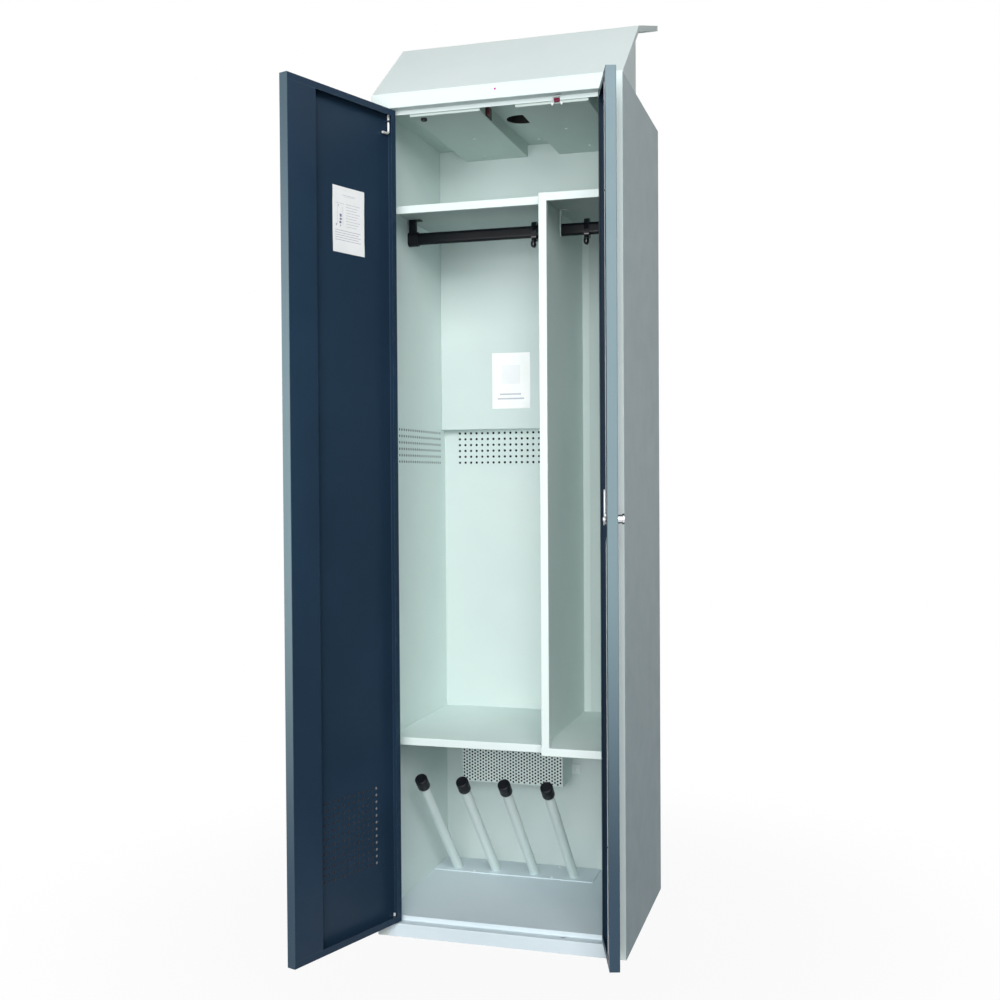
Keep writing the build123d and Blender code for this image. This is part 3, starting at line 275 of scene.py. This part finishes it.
def leafPaint(name, leaf):         # the fold at the leaf's free end gets a painted sheen, faint at the foot
    (pivotX, pivotY), (aheadX, aheadY) = leaf["pivot"], leaf["ahead"]
    points = [vertex.co for vertex in nodes[leaf["node"]].data.vertices]
    reach = max((point.x - pivotX) * aheadX + (point.y - pivotY) * aheadY for point in points)

    def paintedFoldSheen(f):
        s = shadeSettings
        low = f.between(f.axis("Z"), *s["foldLow"], s["foldFoot"], 1)
        high = f.between(f.axis("Z"), *s["foldHigh"], 1, leaf["pale"])
        start, end = (reach - inset for inset in s["foldReach"])
        return f.between(alongLeaf(f, leaf), start, end) * (low * high)

    # the pale third shade is the leaves' wear, and along their edges it also paints a highlight
    return powderCoat(name, ("1f3347", "243a50", "6b858c"), 0.34, 0.00005, seed=5, shine=0.14,
                      over=(paintedFoldSheen, "788d94"))


leftDoorPaint = leafPaint("leftDoorPaint", leftLeaf)
rightDoorPaint = leafPaint("rightDoorPaint", rightLeaf)
blackSteel = powderCoat("blackSteel", ("0a0e13", "0f141a", "283038"), 0.26, 0.00003, seed=8, shine=0.22)
zinc = metal("zinc", ("eef0ee", "dfe3e4"), 0.28, (1, 1, 0.04), 260, metallic=0.35)
# chrome gets a painted dark reflection at its rim
chrome = metal("chrome", ("e6e8ea", "d8dbde"), 0.08, (1, 1, 1), 300, 2, rimReflection="15181b")
heaterSteel = metal("heaterSteel", ("3d4046", "4c4744"), 0.42, (0.05, 1, 1), 180, 6)
# dark steel for the sheet that stands in for the shade behind the guard
guardShadeSteel = metal("guardShadeSteel", ("2a323e", "1f2631"), 0.55, (0.05, 1, 1), 120, 16)
# darker metals for painted shade on the walls of holes and on the guard's tab edges
liningHoleShade = metal("liningHoleShade", ("8b9498", "7b858a"), 0.5, (1, 1, 1), 400, 14)
guardEdgeShade = metal("guardEdgeShade", ("3f484f", "333b42"), 0.5, (1, 1, 1), 400, 18)
blackPlastic = plastic("blackPlastic", ("0b0e14", "191d25"), 0.30, 0.00003, Specular_IOR_Level=0.3)
glossPlastic = plastic("glossPlastic", ("070b11", "111822"), 0.02, 0.00001, 3, Specular_IOR_Level=0.45)
redPlastic = plastic("redPlastic", ("6e0a34", "860f42"), 0.28, 0.00001, 5, Specular_IOR_Level=0.25)
rockerPlastic = plastic("rockerPlastic", ("5b0f1c", "741726"), 0.26, 0.00001, 6)
lampPlastic = plastic("lampPlastic", ("b81f96", "c636a4"), 0.10, 0.00001, 4, Emission_Strength=0.12,
                      Emission_Color=rgb("c81fa0"))
whitePlastic = plastic("whitePlastic", ("eef0ee", "e2e4e0"), 0.38, 0.00002, 7)
greyPlastic = plastic("greyPlastic", ("7d8285", "8b9093"), 0.42, 0.00003, 9)
exhaustShadeRubber = plastic("exhaustShadeRubber", ("0e0f10", "181a1b"), 0.62, 0.00005, 12)


def felt(name, shades, seed):
    f = Finish(name, Specular_IOR_Level=0.1, Sheen_Weight=0.2)
    base, fluff = map(rgb, shades)
    hair = f.noise(900, 6, 0.8, (1, 1, 0.3), seed)
    tufts = f.noise(150, 4, 0.6, seed=seed + 2)
    tone = f.mixed(f.between(hair, 0.4, 0.7, 0, 0.7), base, fluff)
    return f.shade(Base_Color=tone, Roughness=0.85 + 0.1 * tufts, Normal=f.bump(hair, 0.0002, 0.6))


# dark felts put behind holes, standing in for the shade seen through them
ductShadeFelt = felt("ductShadeFelt", ("20272c", "343c42"), 15)
# dark fleece for the left leaf's holes, as painted shade
ventShadeFelt = felt("ventShadeFelt", ("241a1e", "3c2a2c"), 17)
print("finishes mixed")

paints = {
    bodyPaint: ["base_pan", "rear_panel", "top_panel", "hood_cover", "hood_left_cheek", "hood_right_cheek"],
    sidePaint: ["left_side_panel", "right_side_panel"],
    bluishLitBootPaint: ["floor_pan", "tube_plate"],
    shadedCeilingPaint: ["ceiling_panel", "control_tray", "supply_tray"],
    shadedRearPaint: ["rear_lining", "upper_duct_cover", "lower_duct_cover"],
    liningPaint: ["left_lining", "right_lining", "left_top_shelf", "left_low_shelf", "right_top_shelf",
                  "right_low_shelf", "partition", "rail_holder", "heater_guard",
                  "drying_tube_1", "drying_tube_2", "drying_tube_3", "drying_tube_4"],
    leftDoorPaint: ["left_door_panel", "left_door_stiffener"],
    rightDoorPaint: ["right_door_panel"],
    zinc: ["left_hinge_bolt", "right_hinge_bolt", "lower_hinge_pins", "hinge_washers", "lock_barrel",
           "lock_cam", "upper_lock_rod", "lower_lock_rod", "fixing_screws"],
    chrome: ["lock_knob"],
    blackSteel: ["left_rail", "right_rail"],
    blackPlastic: ["rail_brackets", "tube_caps", "power_switch_frame", "thermostat_dial", "thermostat",
                   "fan_frame", "fan_impeller"],
    glossPlastic: ["left_rail_hook", "right_rail_hook"],
    redPlastic: ["door_switch_plunger"],
    rockerPlastic: ["power_switch_rocker"],
    lampPlastic: ["indicator_lamp"],
    whitePlastic: ["door_switch_housing", "terminal_block"],
    greyPlastic: ["cable_gland"],
    heaterSteel: ["heater_element"],
}
for finish, names in paints.items():
    for name in names:
        nodes[name].data.materials.clear()
        nodes[name].data.materials.append(finish.data)
print("nodes painted")


def deselectAll():
    if bpy.context.object and bpy.context.object.mode != "OBJECT":
        bpy.ops.object.mode_set(mode="OBJECT")
    bpy.ops.object.select_all(action="DESELECT")


def pick(*objs):                   # selects these alone, the first as the active one
    deselectAll()
    for obj in objs:
        obj.select_set(True)
    bpy.context.view_layer.objects.active = objs[0]


def editFaces(obj, chosen):        # edit mode with the chosen faces selected
    pick(obj)
    bpy.ops.object.mode_set(mode="EDIT")
    bpy.ops.mesh.select_mode(type="FACE")
    bpy.ops.mesh.select_all(action="DESELECT")
    bpy.ops.object.mode_set(mode="OBJECT")
    for face in obj.data.polygons:
        face.select = chosen(face)
    bpy.ops.object.mode_set(mode="EDIT")


def applyModifiers(obj):
    pick(obj)
    for modifier in list(obj.modifiers):
        bpy.ops.object.modifier_apply(modifier=modifier.name)


def putAt(obj, matrix):            # the place goes into the mesh, and the object stays at the origin
    pick(obj)
    obj.matrix_world = matrix @ obj.matrix_world
    bpy.ops.object.transform_apply(location=True, rotation=True, scale=True)


def repeatAt(obj, matrices):       # one piece of copies of obj, one for each matrix
    copies = []
    for matrix in matrices:
        copy = obj.copy()
        copy.data = obj.data.copy()
        bpy.context.scene.collection.objects.link(copy)
        putAt(copy, matrix)
        copies.append(copy)
    bpy.data.objects.remove(obj)
    pick(*copies)
    if len(copies) > 1:
        bpy.ops.object.join()
    return copies[0]


def finished(obj, name, finish, body, angle=35, replaces=()):
    applyModifiers(obj)
    bpy.ops.object.transform_apply(location=True, rotation=True, scale=True)
    bpy.ops.object.mode_set(mode="EDIT")
    bpy.ops.mesh.select_all(action="SELECT")
    bpy.ops.mesh.normals_make_consistent(inside=False)
    bpy.ops.object.mode_set(mode="OBJECT")
    bpy.ops.object.shade_smooth_by_angle(angle=math.radians(angle))
    obj.name = obj.data.name = name
    obj.data.materials.clear()
    obj.data.materials.append(finish.data)
    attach(obj, body)
    if replaces:
        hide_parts(*replaces)
    return obj


def turned(profile, sides):        # a turned piece; profile is (radius, height) from its foot up
    radius, height = profile[0]
    deselectAll()
    bpy.ops.mesh.primitive_circle_add(vertices=sides, radius=radius, fill_type="NGON",
                                      location=(0, 0, height))
    obj = bpy.context.object
    bpy.ops.object.transform_apply(location=True, rotation=False, scale=False)
    editFaces(obj, lambda face: True)
    for nextRadius, nextHeight in profile[1:]:
        bpy.ops.mesh.extrude_region_move(TRANSFORM_OT_translate={"value": (0, 0, nextHeight - height)})
        factor = nextRadius / radius
        bpy.ops.transform.resize(value=(factor, factor, 1), center_override=(0, 0, nextHeight))
        radius, height = nextRadius, nextHeight
    bpy.ops.object.mode_set(mode="OBJECT")
    return obj


def block(low, high):
    deselectAll()
    bpy.ops.mesh.primitive_cube_add(size=1, location=[(a + b) / 2 for a, b in zip(low, high)])
    obj = bpy.context.object
    obj.scale = [b - a for a, b in zip(low, high)]
    bpy.ops.object.transform_apply(location=True, rotation=True, scale=True)
    return obj


def nodeCopy(node):                # a merged copy of a node's mesh, to be worked on
    copy = bpy.data.objects.new(node + "Copy", nodes[node].data.copy())
    bpy.context.scene.collection.objects.link(copy)
    pick(copy)
    bpy.ops.object.mode_set(mode="EDIT")
    bpy.ops.mesh.select_all(action="SELECT")
    bpy.ops.mesh.remove_doubles(threshold=0.00001)
    bpy.ops.mesh.dissolve_limited(angle_limit=math.radians(0.2))
    bpy.ops.mesh.normals_make_consistent(inside=False)
    bpy.ops.object.mode_set(mode="OBJECT")
    return copy


def pinField(size, place, turn, steps):      # a field of drill pins; steps are (count, offset)
    deselectAll()
    bpy.ops.mesh.primitive_cylinder_add(vertices=size[0], radius=size[1], depth=size[2],
                                        location=place, rotation=turn)
    pins = bpy.context.object
    bpy.ops.object.transform_apply(location=True, rotation=True, scale=True)
    for count, offset in steps:
        row = pins.modifiers.new("row", "ARRAY")
        row.count, row.use_relative_offset, row.use_constant_offset = count, False, True
        row.constant_offset_displace = offset
    applyModifiers(pins)
    return pins


def drill(obj, cutter):
    cut = obj.modifiers.new("drill", "BOOLEAN")
    cut.operation, cut.solver, cut.object = "DIFFERENCE", "EXACT", cutter
    applyModifiers(obj)
    bpy.data.objects.remove(cutter)


def shadeHoleWalls(obj, finish, axis, low, high):     # painted shade: a darker second finish on the walls of the holes, between two corners
    obj.data.materials.append(finish.data)
    for face in obj.data.polygons:
        inside = all(a < c < b for a, c, b in zip(low, face.center, high))
        if inside and abs(face.normal[axis]) < 0.5:
            face.material_index = 1


def soften(obj, width, segments):
    soft = obj.modifiers.new("soft", "BEVEL")
    soft.width, soft.segments = width, segments


# a dark felt behind punched holes, as painted shade
def addShadeFelt(name, low, high):
    mat = block(low, high)
    soften(mat, 0.0003, 2)
    finished(mat, name, ductShadeFelt, "cabinet", 40)


# perforated side linings, each a drilled sheet with the strip along its front
liningHoles = dict(firstY=-0.171, lowZ=1.130, pitch=0.016, columns=24, rows=6, radius=0.0035, sides=12,
                   sheet=((0.290, -0.224, 0.042), (0.291, 0.240, 1.973)),
                   strip=((0.257, -0.224, 0.042), (0.290, -0.223, 1.973)),
                   middle=0.2905, drillDepth=0.006, felt=(0.2916, 0.2928), feltMargin=0.01)


def addLining(side, s):
    node = "left_lining" if side < 0 else "right_lining"
    parts = []
    for (nearX, nearY, low), (farX, farY, high) in (s["sheet"], s["strip"]):
        left, right = sorted((side * nearX, side * farX))
        parts.append(block((left, nearY, low), (right, farY, high)))
    lining = parts[0]
    steps = ((s["columns"], (0, s["pitch"], 0)), (s["rows"], (0, 0, s["pitch"])))
    first = (side * s["middle"], s["firstY"], s["lowZ"])
    drill(lining, pinField((s["sides"], s["radius"], s["drillDepth"]), first, (0, math.pi / 2, 0), steps))
    pick(*parts)
    bpy.ops.object.join()
    name = "perforatedLiningLeft" if side < 0 else "perforatedLiningRight"
    finished(lining, name, liningPaint, "cabinet", 30, (node,))
    lastY, highZ = s["firstY"] + (s["columns"] - 1) * s["pitch"], s["lowZ"] + (s["rows"] - 1) * s["pitch"]
    outer, inset, margin = s["felt"][1], s["radius"], s["feltMargin"]
    shadeHoleWalls(lining, liningHoleShade, 0, (-outer, s["firstY"] - inset, s["lowZ"] - inset),
                (outer, lastY + inset, highZ + inset))
    near, far = sorted(side * reach for reach in s["felt"])
    addShadeFelt(name + "Felt", (near, s["firstY"] - margin, s["lowZ"] - margin),
            (far, lastY + margin, highZ + margin))


for side in (-1, 1):
    addLining(side, liningHoles)
print("linings perforated")

guardHoles = dict(left=-0.2053, low=0.2878, across=0.0075, pitch=0.00866, columns=36, rows=18,
                  radius=0.0026, sides=10, drillDepth=0.006, front=0.1335, frontHalf=0.002,
                  tabsFrom=0.2, tabsOutside=(-0.2115, 0.0635))
# a dark sheet behind the heater guard, standing in for the shade seen through its holes
guardShadeSettings = dict(back=((-0.2084, 0.2355, 0.2845), (0.0604, 0.2367, 0.4375)),
                      side=((-0.2098, 0.1350, 0.2845), (-0.2086, 0.2367, 0.4375)),
                      foot=((-0.2098, 0.1350, 0.2832), (0.0604, 0.2367, 0.2843)),
                      legs=((0.041, 0.236, 0.321), (-0.189, 0.236, 0.401)), legHole=(24, 0.0055, 0.01))


def addGuard(s, behind):
    guard = nodeCopy("heater_guard")
    for odd in (0, 1):
        start = (s["left"] + odd * s["across"], s["front"], s["low"] + odd * s["pitch"] / 2)
        steps = ((s["columns"] // 2, (2 * s["across"], 0, 0)), (s["rows"] - odd, (0, 0, s["pitch"])))
        drill(guard, pinField((s["sides"], s["radius"], s["drillDepth"]), start, (math.pi / 2, 0, 0), steps))
    finished(guard, "perforatedGuard", liningPaint, "cabinet", 30, ("heater_guard",))
    lastX, highZ = s["left"] + (s["columns"] - 1) * s["across"], s["low"] + s["rows"] * s["pitch"]
    inset, half = s["radius"], s["frontHalf"]
    shadeHoleWalls(guard, guardEdgeShade, 1, (s["left"] - inset, s["front"] - half, s["low"] - inset),
                (lastX + inset, s["front"] + half, highZ))
    tabLeft, tabRight = s["tabsOutside"]
    for face in guard.data.polygons:             # the tabs' edges get the dark finish, a painted shadow round the standing-off tabs
        onTab = face.center.y > s["tabsFrom"] and not tabLeft < face.center.x < tabRight
        if onTab and abs(face.normal.y) < 0.5:
            face.material_index = 1
    # the dark sheet behind the guard is painted shade
    shadeSheet = block(*behind["back"])
    for leg in behind["legs"]:
        drill(shadeSheet, pinField(behind["legHole"], leg, (math.pi / 2, 0, 0), ()))
    pick(shadeSheet, block(*behind["side"]), block(*behind["foot"]))
    bpy.ops.object.join()
    finished(shadeSheet, "guardShadeSheet", guardShadeSteel, "cabinet", 30)


addGuard(guardHoles, guardShadeSettings)
# a dark felt behind the punched holes at the back, as painted shade
rearFeltBox = (-0.2600, 0.2416, 1.1150), (0.0540, 0.2428, 1.2250)
addShadeFelt("rearHoleShadeFelt", *rearFeltBox)
print("heater guard perforated")

ventSettings = dict(columns=12, rows=12, pitch=0.016, radius=0.00352, depth=0.0004, sides=16,
                    first=(-0.205, -0.2495, 0.186), hingeColumn=(0.0590, 0.0670), hingeColumnAlpha=0.6)


def onLeftLeaf(point):             # a place on the left leaf, moved from closed to open
    pivot = Vector((*leftLeaf["pivot"], 0))
    turn = Matrix.Rotation(math.radians(leftLeaf["turn"]), 4, "Z")
    return Matrix.Translation(pivot) @ turn @ Matrix.Translation(Vector(point) - pivot)


def addVentHoleShade(s):                        # plugs of dark fleece in the holes of the left leaf, standing in for the shade inside them
    steps = ((s["columns"], (s["pitch"], 0, 0)), (s["rows"], (0, 0, s["pitch"])))
    plugs = pinField((s["sides"], s["radius"], s["depth"]), (0, 0, 0), (math.pi / 2, 0, 0), steps)
    putAt(plugs, onLeftLeaf(s["first"]))
    along = alongLeaf(ventShadeFelt, leftLeaf)
    ventShadeFelt.shade(Alpha=ventShadeFelt.between(along, *s["hingeColumn"], s["hingeColumnAlpha"], 1))      # partly see-through in the column beside the hinge
    finished(plugs, "ventHoleShade", ventShadeFelt, "left_door", 40)


addVentHoleShade(ventSettings)
print("air holes filled")

capSettings = dict(columns=(-0.232, -0.126, -0.020, 0.086), footY=0.158, footZ=0.044, lean=43.5, sides=40,
                   profile=((0.0127, 0.3872), (0.0151, 0.3872), (0.0155, 0.3880), (0.0155, 0.3930),
                            (0.0150, 0.3934), (0.0150, 0.3944), (0.0155, 0.3948), (0.0155, 0.3990),
                            (0.0150, 0.3994), (0.0150, 0.4004), (0.0155, 0.4008), (0.0155, 0.4180),
                            (0.0151, 0.4196), (0.0142, 0.4207), (0.0130, 0.4210), (0.0124, 0.4206),
                            (0.0120, 0.4199), (0.0080, 0.4197), (0.0001, 0.4197)))


def addTubeCaps(s):
    cap = turned(s["profile"], s["sides"])
    lean = Matrix.Rotation(math.radians(s["lean"]), 4, "X")
    places = [Matrix.Translation((x, s["footY"], s["footZ"])) @ lean for x in s["columns"]]
    caps = repeatAt(cap, places)
    finished(caps, "groovedTubeCaps", blackPlastic, "cabinet", 40, ("tube_caps",))


addTubeCaps(capSettings)
print("tube caps turned")

screwSettings = dict(
    profile=((0.0036, 0.0), (0.0036, 0.0004), (0.0034, 0.0011), (0.0028, 0.0017), (0.0018, 0.0021),
             (0.0006, 0.0022), (0.0001, 0.0022)),
    sides=20, crossLength=0.0019, crossWidth=0.0005, crossFloor=0.0009, crossTop=0.003,
    firstSpin=15, nextSpin=37,
    upright=((-0.179, 0.131, 0.044), (-0.179, 0.217, 0.044), (0.033, 0.131, 0.044), (0.033, 0.217, 0.044)),
    facing=((-0.223, 0.2385, 0.306), (0.075, 0.2385, 0.306)),
    hanging=((-0.124, 0.0, 1.941), (-0.148, 0.166, 1.941), (0.141, 0.145, 1.941), (0.117, -0.020, 1.941),
             (0.001, 0.164, 1.973), (0.016, 0.169, 1.973)))


def addScrews(s):
    head = turned(s["profile"], s["sides"])
    long, wide = s["crossLength"], s["crossWidth"]
    for x, y in ((long, wide), (wide, long)):
        drill(head, block((-x, -y, s["crossFloor"]), (x, y, s["crossTop"])))
    turns = {"upright": Matrix.Identity(4), "facing": Matrix.Rotation(math.pi / 2, 4, "X"),
             "hanging": Matrix.Rotation(math.pi, 4, "X")}
    places = []
    for way, turn in turns.items():
        for number, point in enumerate(s[way]):
            spin = Matrix.Rotation(math.radians(s["nextSpin"] * number + s["firstSpin"]), 4, "Z")
            places.append(Matrix.Translation(point) @ turn @ spin)
    heads = repeatAt(head, places)
    finished(heads, "crossHeadScrews", zinc, "cabinet", 30, ("fixing_screws",))


addScrews(screwSettings)
print("screws cut")

rivetSettings = dict(
    profile=((0.0034, 0.0), (0.0034, 0.0003), (0.0031, 0.0008), (0.0024, 0.0012), (0.0013, 0.0015),
             (0.0001, 0.0016)),
    sides=18, dimple=0.0009, edges=(-0.289, 0.289), levels=(0.06, 0.37, 0.68, 0.99, 1.30, 1.61, 1.92),
    rows=(0.012, 1.978), across=(-0.19, -0.06, 0.07, 0.19), back=0.2499, plateThickness=0.0008,
    plate=((0.118, 0.2499, 1.800), (0.192, 0.2507, 1.842)), plateRivets=((0.1225, 1.821), (0.1875, 1.821)))


def addRivets(s):                            # blind rivets round the rear panel, and a bare plate
    head = turned(s["profile"], s["sides"])
    drill(head, pinField((12, s["dimple"], 0.0016), (0, 0, 0.0016), (0, 0, 0), ()))
    points = [(x, s["back"], z) for x in s["edges"] for z in s["levels"]]
    points += [(x, s["back"], z) for z in s["rows"] for x in s["across"]]
    points += [(x, s["back"] + s["plateThickness"], z) for x, z in s["plateRivets"]]
    turn = Matrix.Rotation(-math.pi / 2, 4, "X")
    heads = repeatAt(head, [Matrix.Translation(point) @ turn for point in points])
    finished(heads, "rearRivets", zinc, "cabinet", 30)
    plate = block(*s["plate"])
    soften(plate, 0.0003, 2)
    finished(plate, "barePlate", zinc, "cabinet", 40)


addRivets(rivetSettings)
print("rear riveted")

sheetSettings = dict(size=(0.105, 0.149), thickness=0.00025, lift=0.0006, corner=(0.4, 0.43),
                     doorMiddle=(-0.126, -0.24885, 1.6735), rearMiddle=(-0.0917, 0.21085, 1.3484))

# printed bars, as paper() takes them
doorLines = [(0.30, 0.72, 0.872, 0.880, 0.4), (0.36, 0.66, 0.852, 0.858, 0.3),
             (0.10, 0.36, 0.738, 0.745, 0.45), (0.16, 0.19, 0.70, 0.72, 0.6),
             (0.14, 0.155, 0.42, 0.70, 0.25), (0.31, 0.325, 0.42, 0.70, 0.3),
             (0.10, 0.13, 0.40, 0.43, 0.7), (0.22, 0.28, 0.54, 0.585, 0.85),
             (0.22, 0.28, 0.49, 0.525, 0.85), (0.21, 0.27, 0.44, 0.475, 0.85), (0.23, 0.26, 0.40, 0.42, 0.8)]
for row in range(9):
    doorLines.append((0.42, 0.86 - 0.05 * (row % 3), 0.74 - 0.042 * row, 0.748 - 0.042 * row, 0.4))
for row in range(5):
    doorLines.append((0.08, 0.88 - 0.07 * (row % 2), 0.33 - 0.036 * row, 0.339 - 0.036 * row, 0.5))
rearLines = [(0.26, 0.74, 0.44, 0.78, 0.10), (0.20, 0.76, 0.245, 0.270, 0.5), (0.14, 0.84, 0.165, 0.190, 0.5)]


def addSheet(name, place, lines, body, s):
    deselectAll()
    bpy.ops.mesh.primitive_grid_add(x_subdivisions=6, y_subdivisions=8, size=1, rotation=(math.pi / 2, 0, 0))
    leaf = bpy.context.object
    leaf.scale = (*s["size"], 1)
    bpy.ops.object.transform_apply(location=True, rotation=True, scale=True)
    cornerX, cornerZ = (part * size for part, size in zip(s["corner"], s["size"]))
    editFaces(leaf, lambda face: abs(face.center.x) > cornerX and abs(face.center.z) > cornerZ)
    bpy.ops.transform.translate(value=(0, -s["lift"], 0))
    bpy.ops.object.mode_set(mode="OBJECT")
    thick = leaf.modifiers.new("thick", "SOLIDIFY")
    thick.thickness, thick.offset = s["thickness"], 0
    applyModifiers(leaf)
    putAt(leaf, place)
    finished(leaf, name, paper(name + "Print", lines), body, 60)


doorPlace = onLeftLeaf(sheetSettings["doorMiddle"]) @ Matrix.Rotation(math.pi, 4, "Z")
addSheet("doorSheet", doorPlace, doorLines, "left_door", sheetSettings)
addSheet("rearSheet", Matrix.Translation(sheetSettings["rearMiddle"]), rearLines, "cabinet", sheetSettings)
print("sheets stuck on")

earSettings = dict(middle=0.143, half=0.0108, width=0.0052, low=1.9368, high=1.9425,
                   front=-0.2235, back=-0.2195, taper=0.55)


def addSwitchEars(s):
    ears = []
    for side in (-1, 1):
        x = s["middle"] + side * s["half"]
        ear = block((x - s["width"] / 2, s["front"], s["low"]), (x + s["width"] / 2, s["back"], s["high"]))
        editFaces(ear, lambda face: face.normal.z < -0.5)
        bpy.ops.transform.resize(value=(s["taper"], 1, 1), center_override=(x, 0, s["low"]))
        bpy.ops.object.mode_set(mode="OBJECT")
        ears.append(ear)
    pick(*ears)
    bpy.ops.object.join()
    soften(ears[0], 0.0008, 3)
    finished(ears[0], "doorSwitchEars", whitePlastic, "cabinet", 40)


addSwitchEars(earSettings)

sleeveSettings = dict(middle=(0.004, -0.018), radius=0.0372, wall=0.0014, low=1.9735, high=1.9995,
                      sides=64, roundIn=0.0004, roundUp=0.0006, past=0.002)


# a dark rubber sleeve lines the exhaust hole, standing in for the shade inside it
def addExhaustSleeve(s):
    outer, low, high = s["radius"], s["low"], s["high"]
    profile = ((outer - s["roundIn"], low), (outer, low + s["roundUp"]), (outer, high))
    sleeve = turned(profile, s["sides"])
    inner = outer - s["wall"]
    drill(sleeve, turned(((inner, low - s["past"]), (inner, high + s["past"])), s["sides"]))
    putAt(sleeve, Matrix.Translation((*s["middle"], 0)))
    finished(sleeve, "exhaustSleeve", exhaustShadeRubber, "cabinet", 40)


addExhaustSleeve(sleeveSettings)
print("ceiling fittings added")

tipSettings = dict(
    hooks=(("left_rail_hook", 0.039), ("right_rail_hook", 0.171)), y=-0.0422, low=1.6512, sides=24,
    profile=((0.0008, 0.0), (0.0036, 0.0007), (0.0056, 0.0026), (0.0067, 0.0058), (0.0070, 0.0090),
             (0.0066, 0.0130), (0.0055, 0.0168), (0.0038, 0.0196), (0.0016, 0.0211), (0.0001, 0.0213)))


def addHookTips(s):
    for node, x in s["hooks"]:
        tip = turned(s["profile"], s["sides"])
        putAt(tip, Matrix.Translation((x, s["y"], s["low"])))
        finished(tip, node + "_tip", glossPlastic, node, 60)


addHookTips(tipSettings)
print("hook tips added")

stageSettings = dict(
    floor=6.0, floorLevel=-0.0005, fade=(0.45, 1.5), near=0.94, paper=(0.15, 0.16, 0.17, 1),
    ambient=0.13, ambientColour=(0.84, 0.93, 1.0, 1), aim=(0, 0, 1.0),
    lamps=dict(key=((1.5, -4.2, 3.0), (2.8, 2.0), 158), front=((0.1, -4.4, 1.2), (3.0, 1.4), 92),
               side=((-4.2, -2.4, 1.3), (1.2, 2.4), 25), rear=((-1.2, 4.4, 2.6), (3.0, 2.2), 170)))


def whiteForCamera(tree, kind):
    path = tree.nodes.new("ShaderNodeLightPath")
    seen = path.outputs["Is Camera Ray"]
    for name in ("Is Glossy Ray", "Is Transmission Ray"):
        add = tree.nodes.new("ShaderNodeMath")
        add.operation, add.use_clamp = "ADD", True
        tree.links.new(seen, add.inputs[0])
        tree.links.new(path.outputs[name], add.inputs[1])
        seen = add.outputs[0]
    mix = tree.nodes.new("ShaderNodeMixShader")
    white = tree.nodes.new(kind)
    white.inputs["Color"].default_value = (1, 1, 1, 1)
    white.inputs["Strength"].default_value = 1
    tree.links.new(white.outputs[0], mix.inputs[2])
    return seen, mix


def setWorld(s):
    scene = bpy.context.scene
    scene.view_settings.view_transform = "Standard"
    world = scene.world or bpy.data.worlds.new("world")
    scene.world = world
    world.use_nodes = True
    tree = world.node_tree
    back = tree.nodes["Background"]
    back.inputs["Color"].default_value = s["ambientColour"]
    back.inputs["Strength"].default_value = s["ambient"]
    seen, mix = whiteForCamera(tree, "ShaderNodeBackground")
    tree.links.new(seen, mix.inputs[0])
    tree.links.new(back.outputs[0], mix.inputs[1])
    tree.links.new(mix.outputs[0], tree.nodes["World Output"].inputs["Surface"])


def addFloor(s):
    deselectAll()
    bpy.ops.mesh.primitive_plane_add(size=2 * s["floor"], location=(0, 0, s["floorLevel"]))
    floor = bpy.context.object
    bpy.ops.object.transform_apply(location=True, rotation=True, scale=True)
    floor.name = "studioFloor"
    f = Finish("floorPaper", Base_Color=s["paper"], Roughness=0.9)
    seen, mix = whiteForCamera(f.tree, "ShaderNodeEmission")
    far = f.node("VectorMath", {"operation": "LENGTH"}, {0: f.place}, "Value")
    blend = Value(f, seen) * f.between(far, *s["fade"], s["near"], 1.0)
    f.tree.links.new(blend.socket, mix.inputs[0])
    f.tree.links.new(f.shader.outputs[0], mix.inputs[1])
    f.tree.links.new(mix.outputs[0], f.tree.nodes["Material Output"].inputs["Surface"])
    floor.data.materials.append(f.data)


def addLamps(s):
    for name, (place, (width, height), power) in s["lamps"].items():
        data = bpy.data.lights.new(name + "Lamp", "AREA")
        data.shape, data.size, data.size_y, data.energy = "RECTANGLE", width, height, power
        lamp = bpy.data.objects.new(name + "Lamp", data)
        bpy.context.scene.collection.objects.link(lamp)
        lamp.location = place
        lamp.rotation_mode = "QUATERNION"
        lamp.rotation_quaternion = (Vector(s["aim"]) - Vector(place)).to_track_quat("-Z", "Y")


setWorld(stageSettings)
addFloor(stageSettings)
addLamps(stageSettings)
print("stage set")
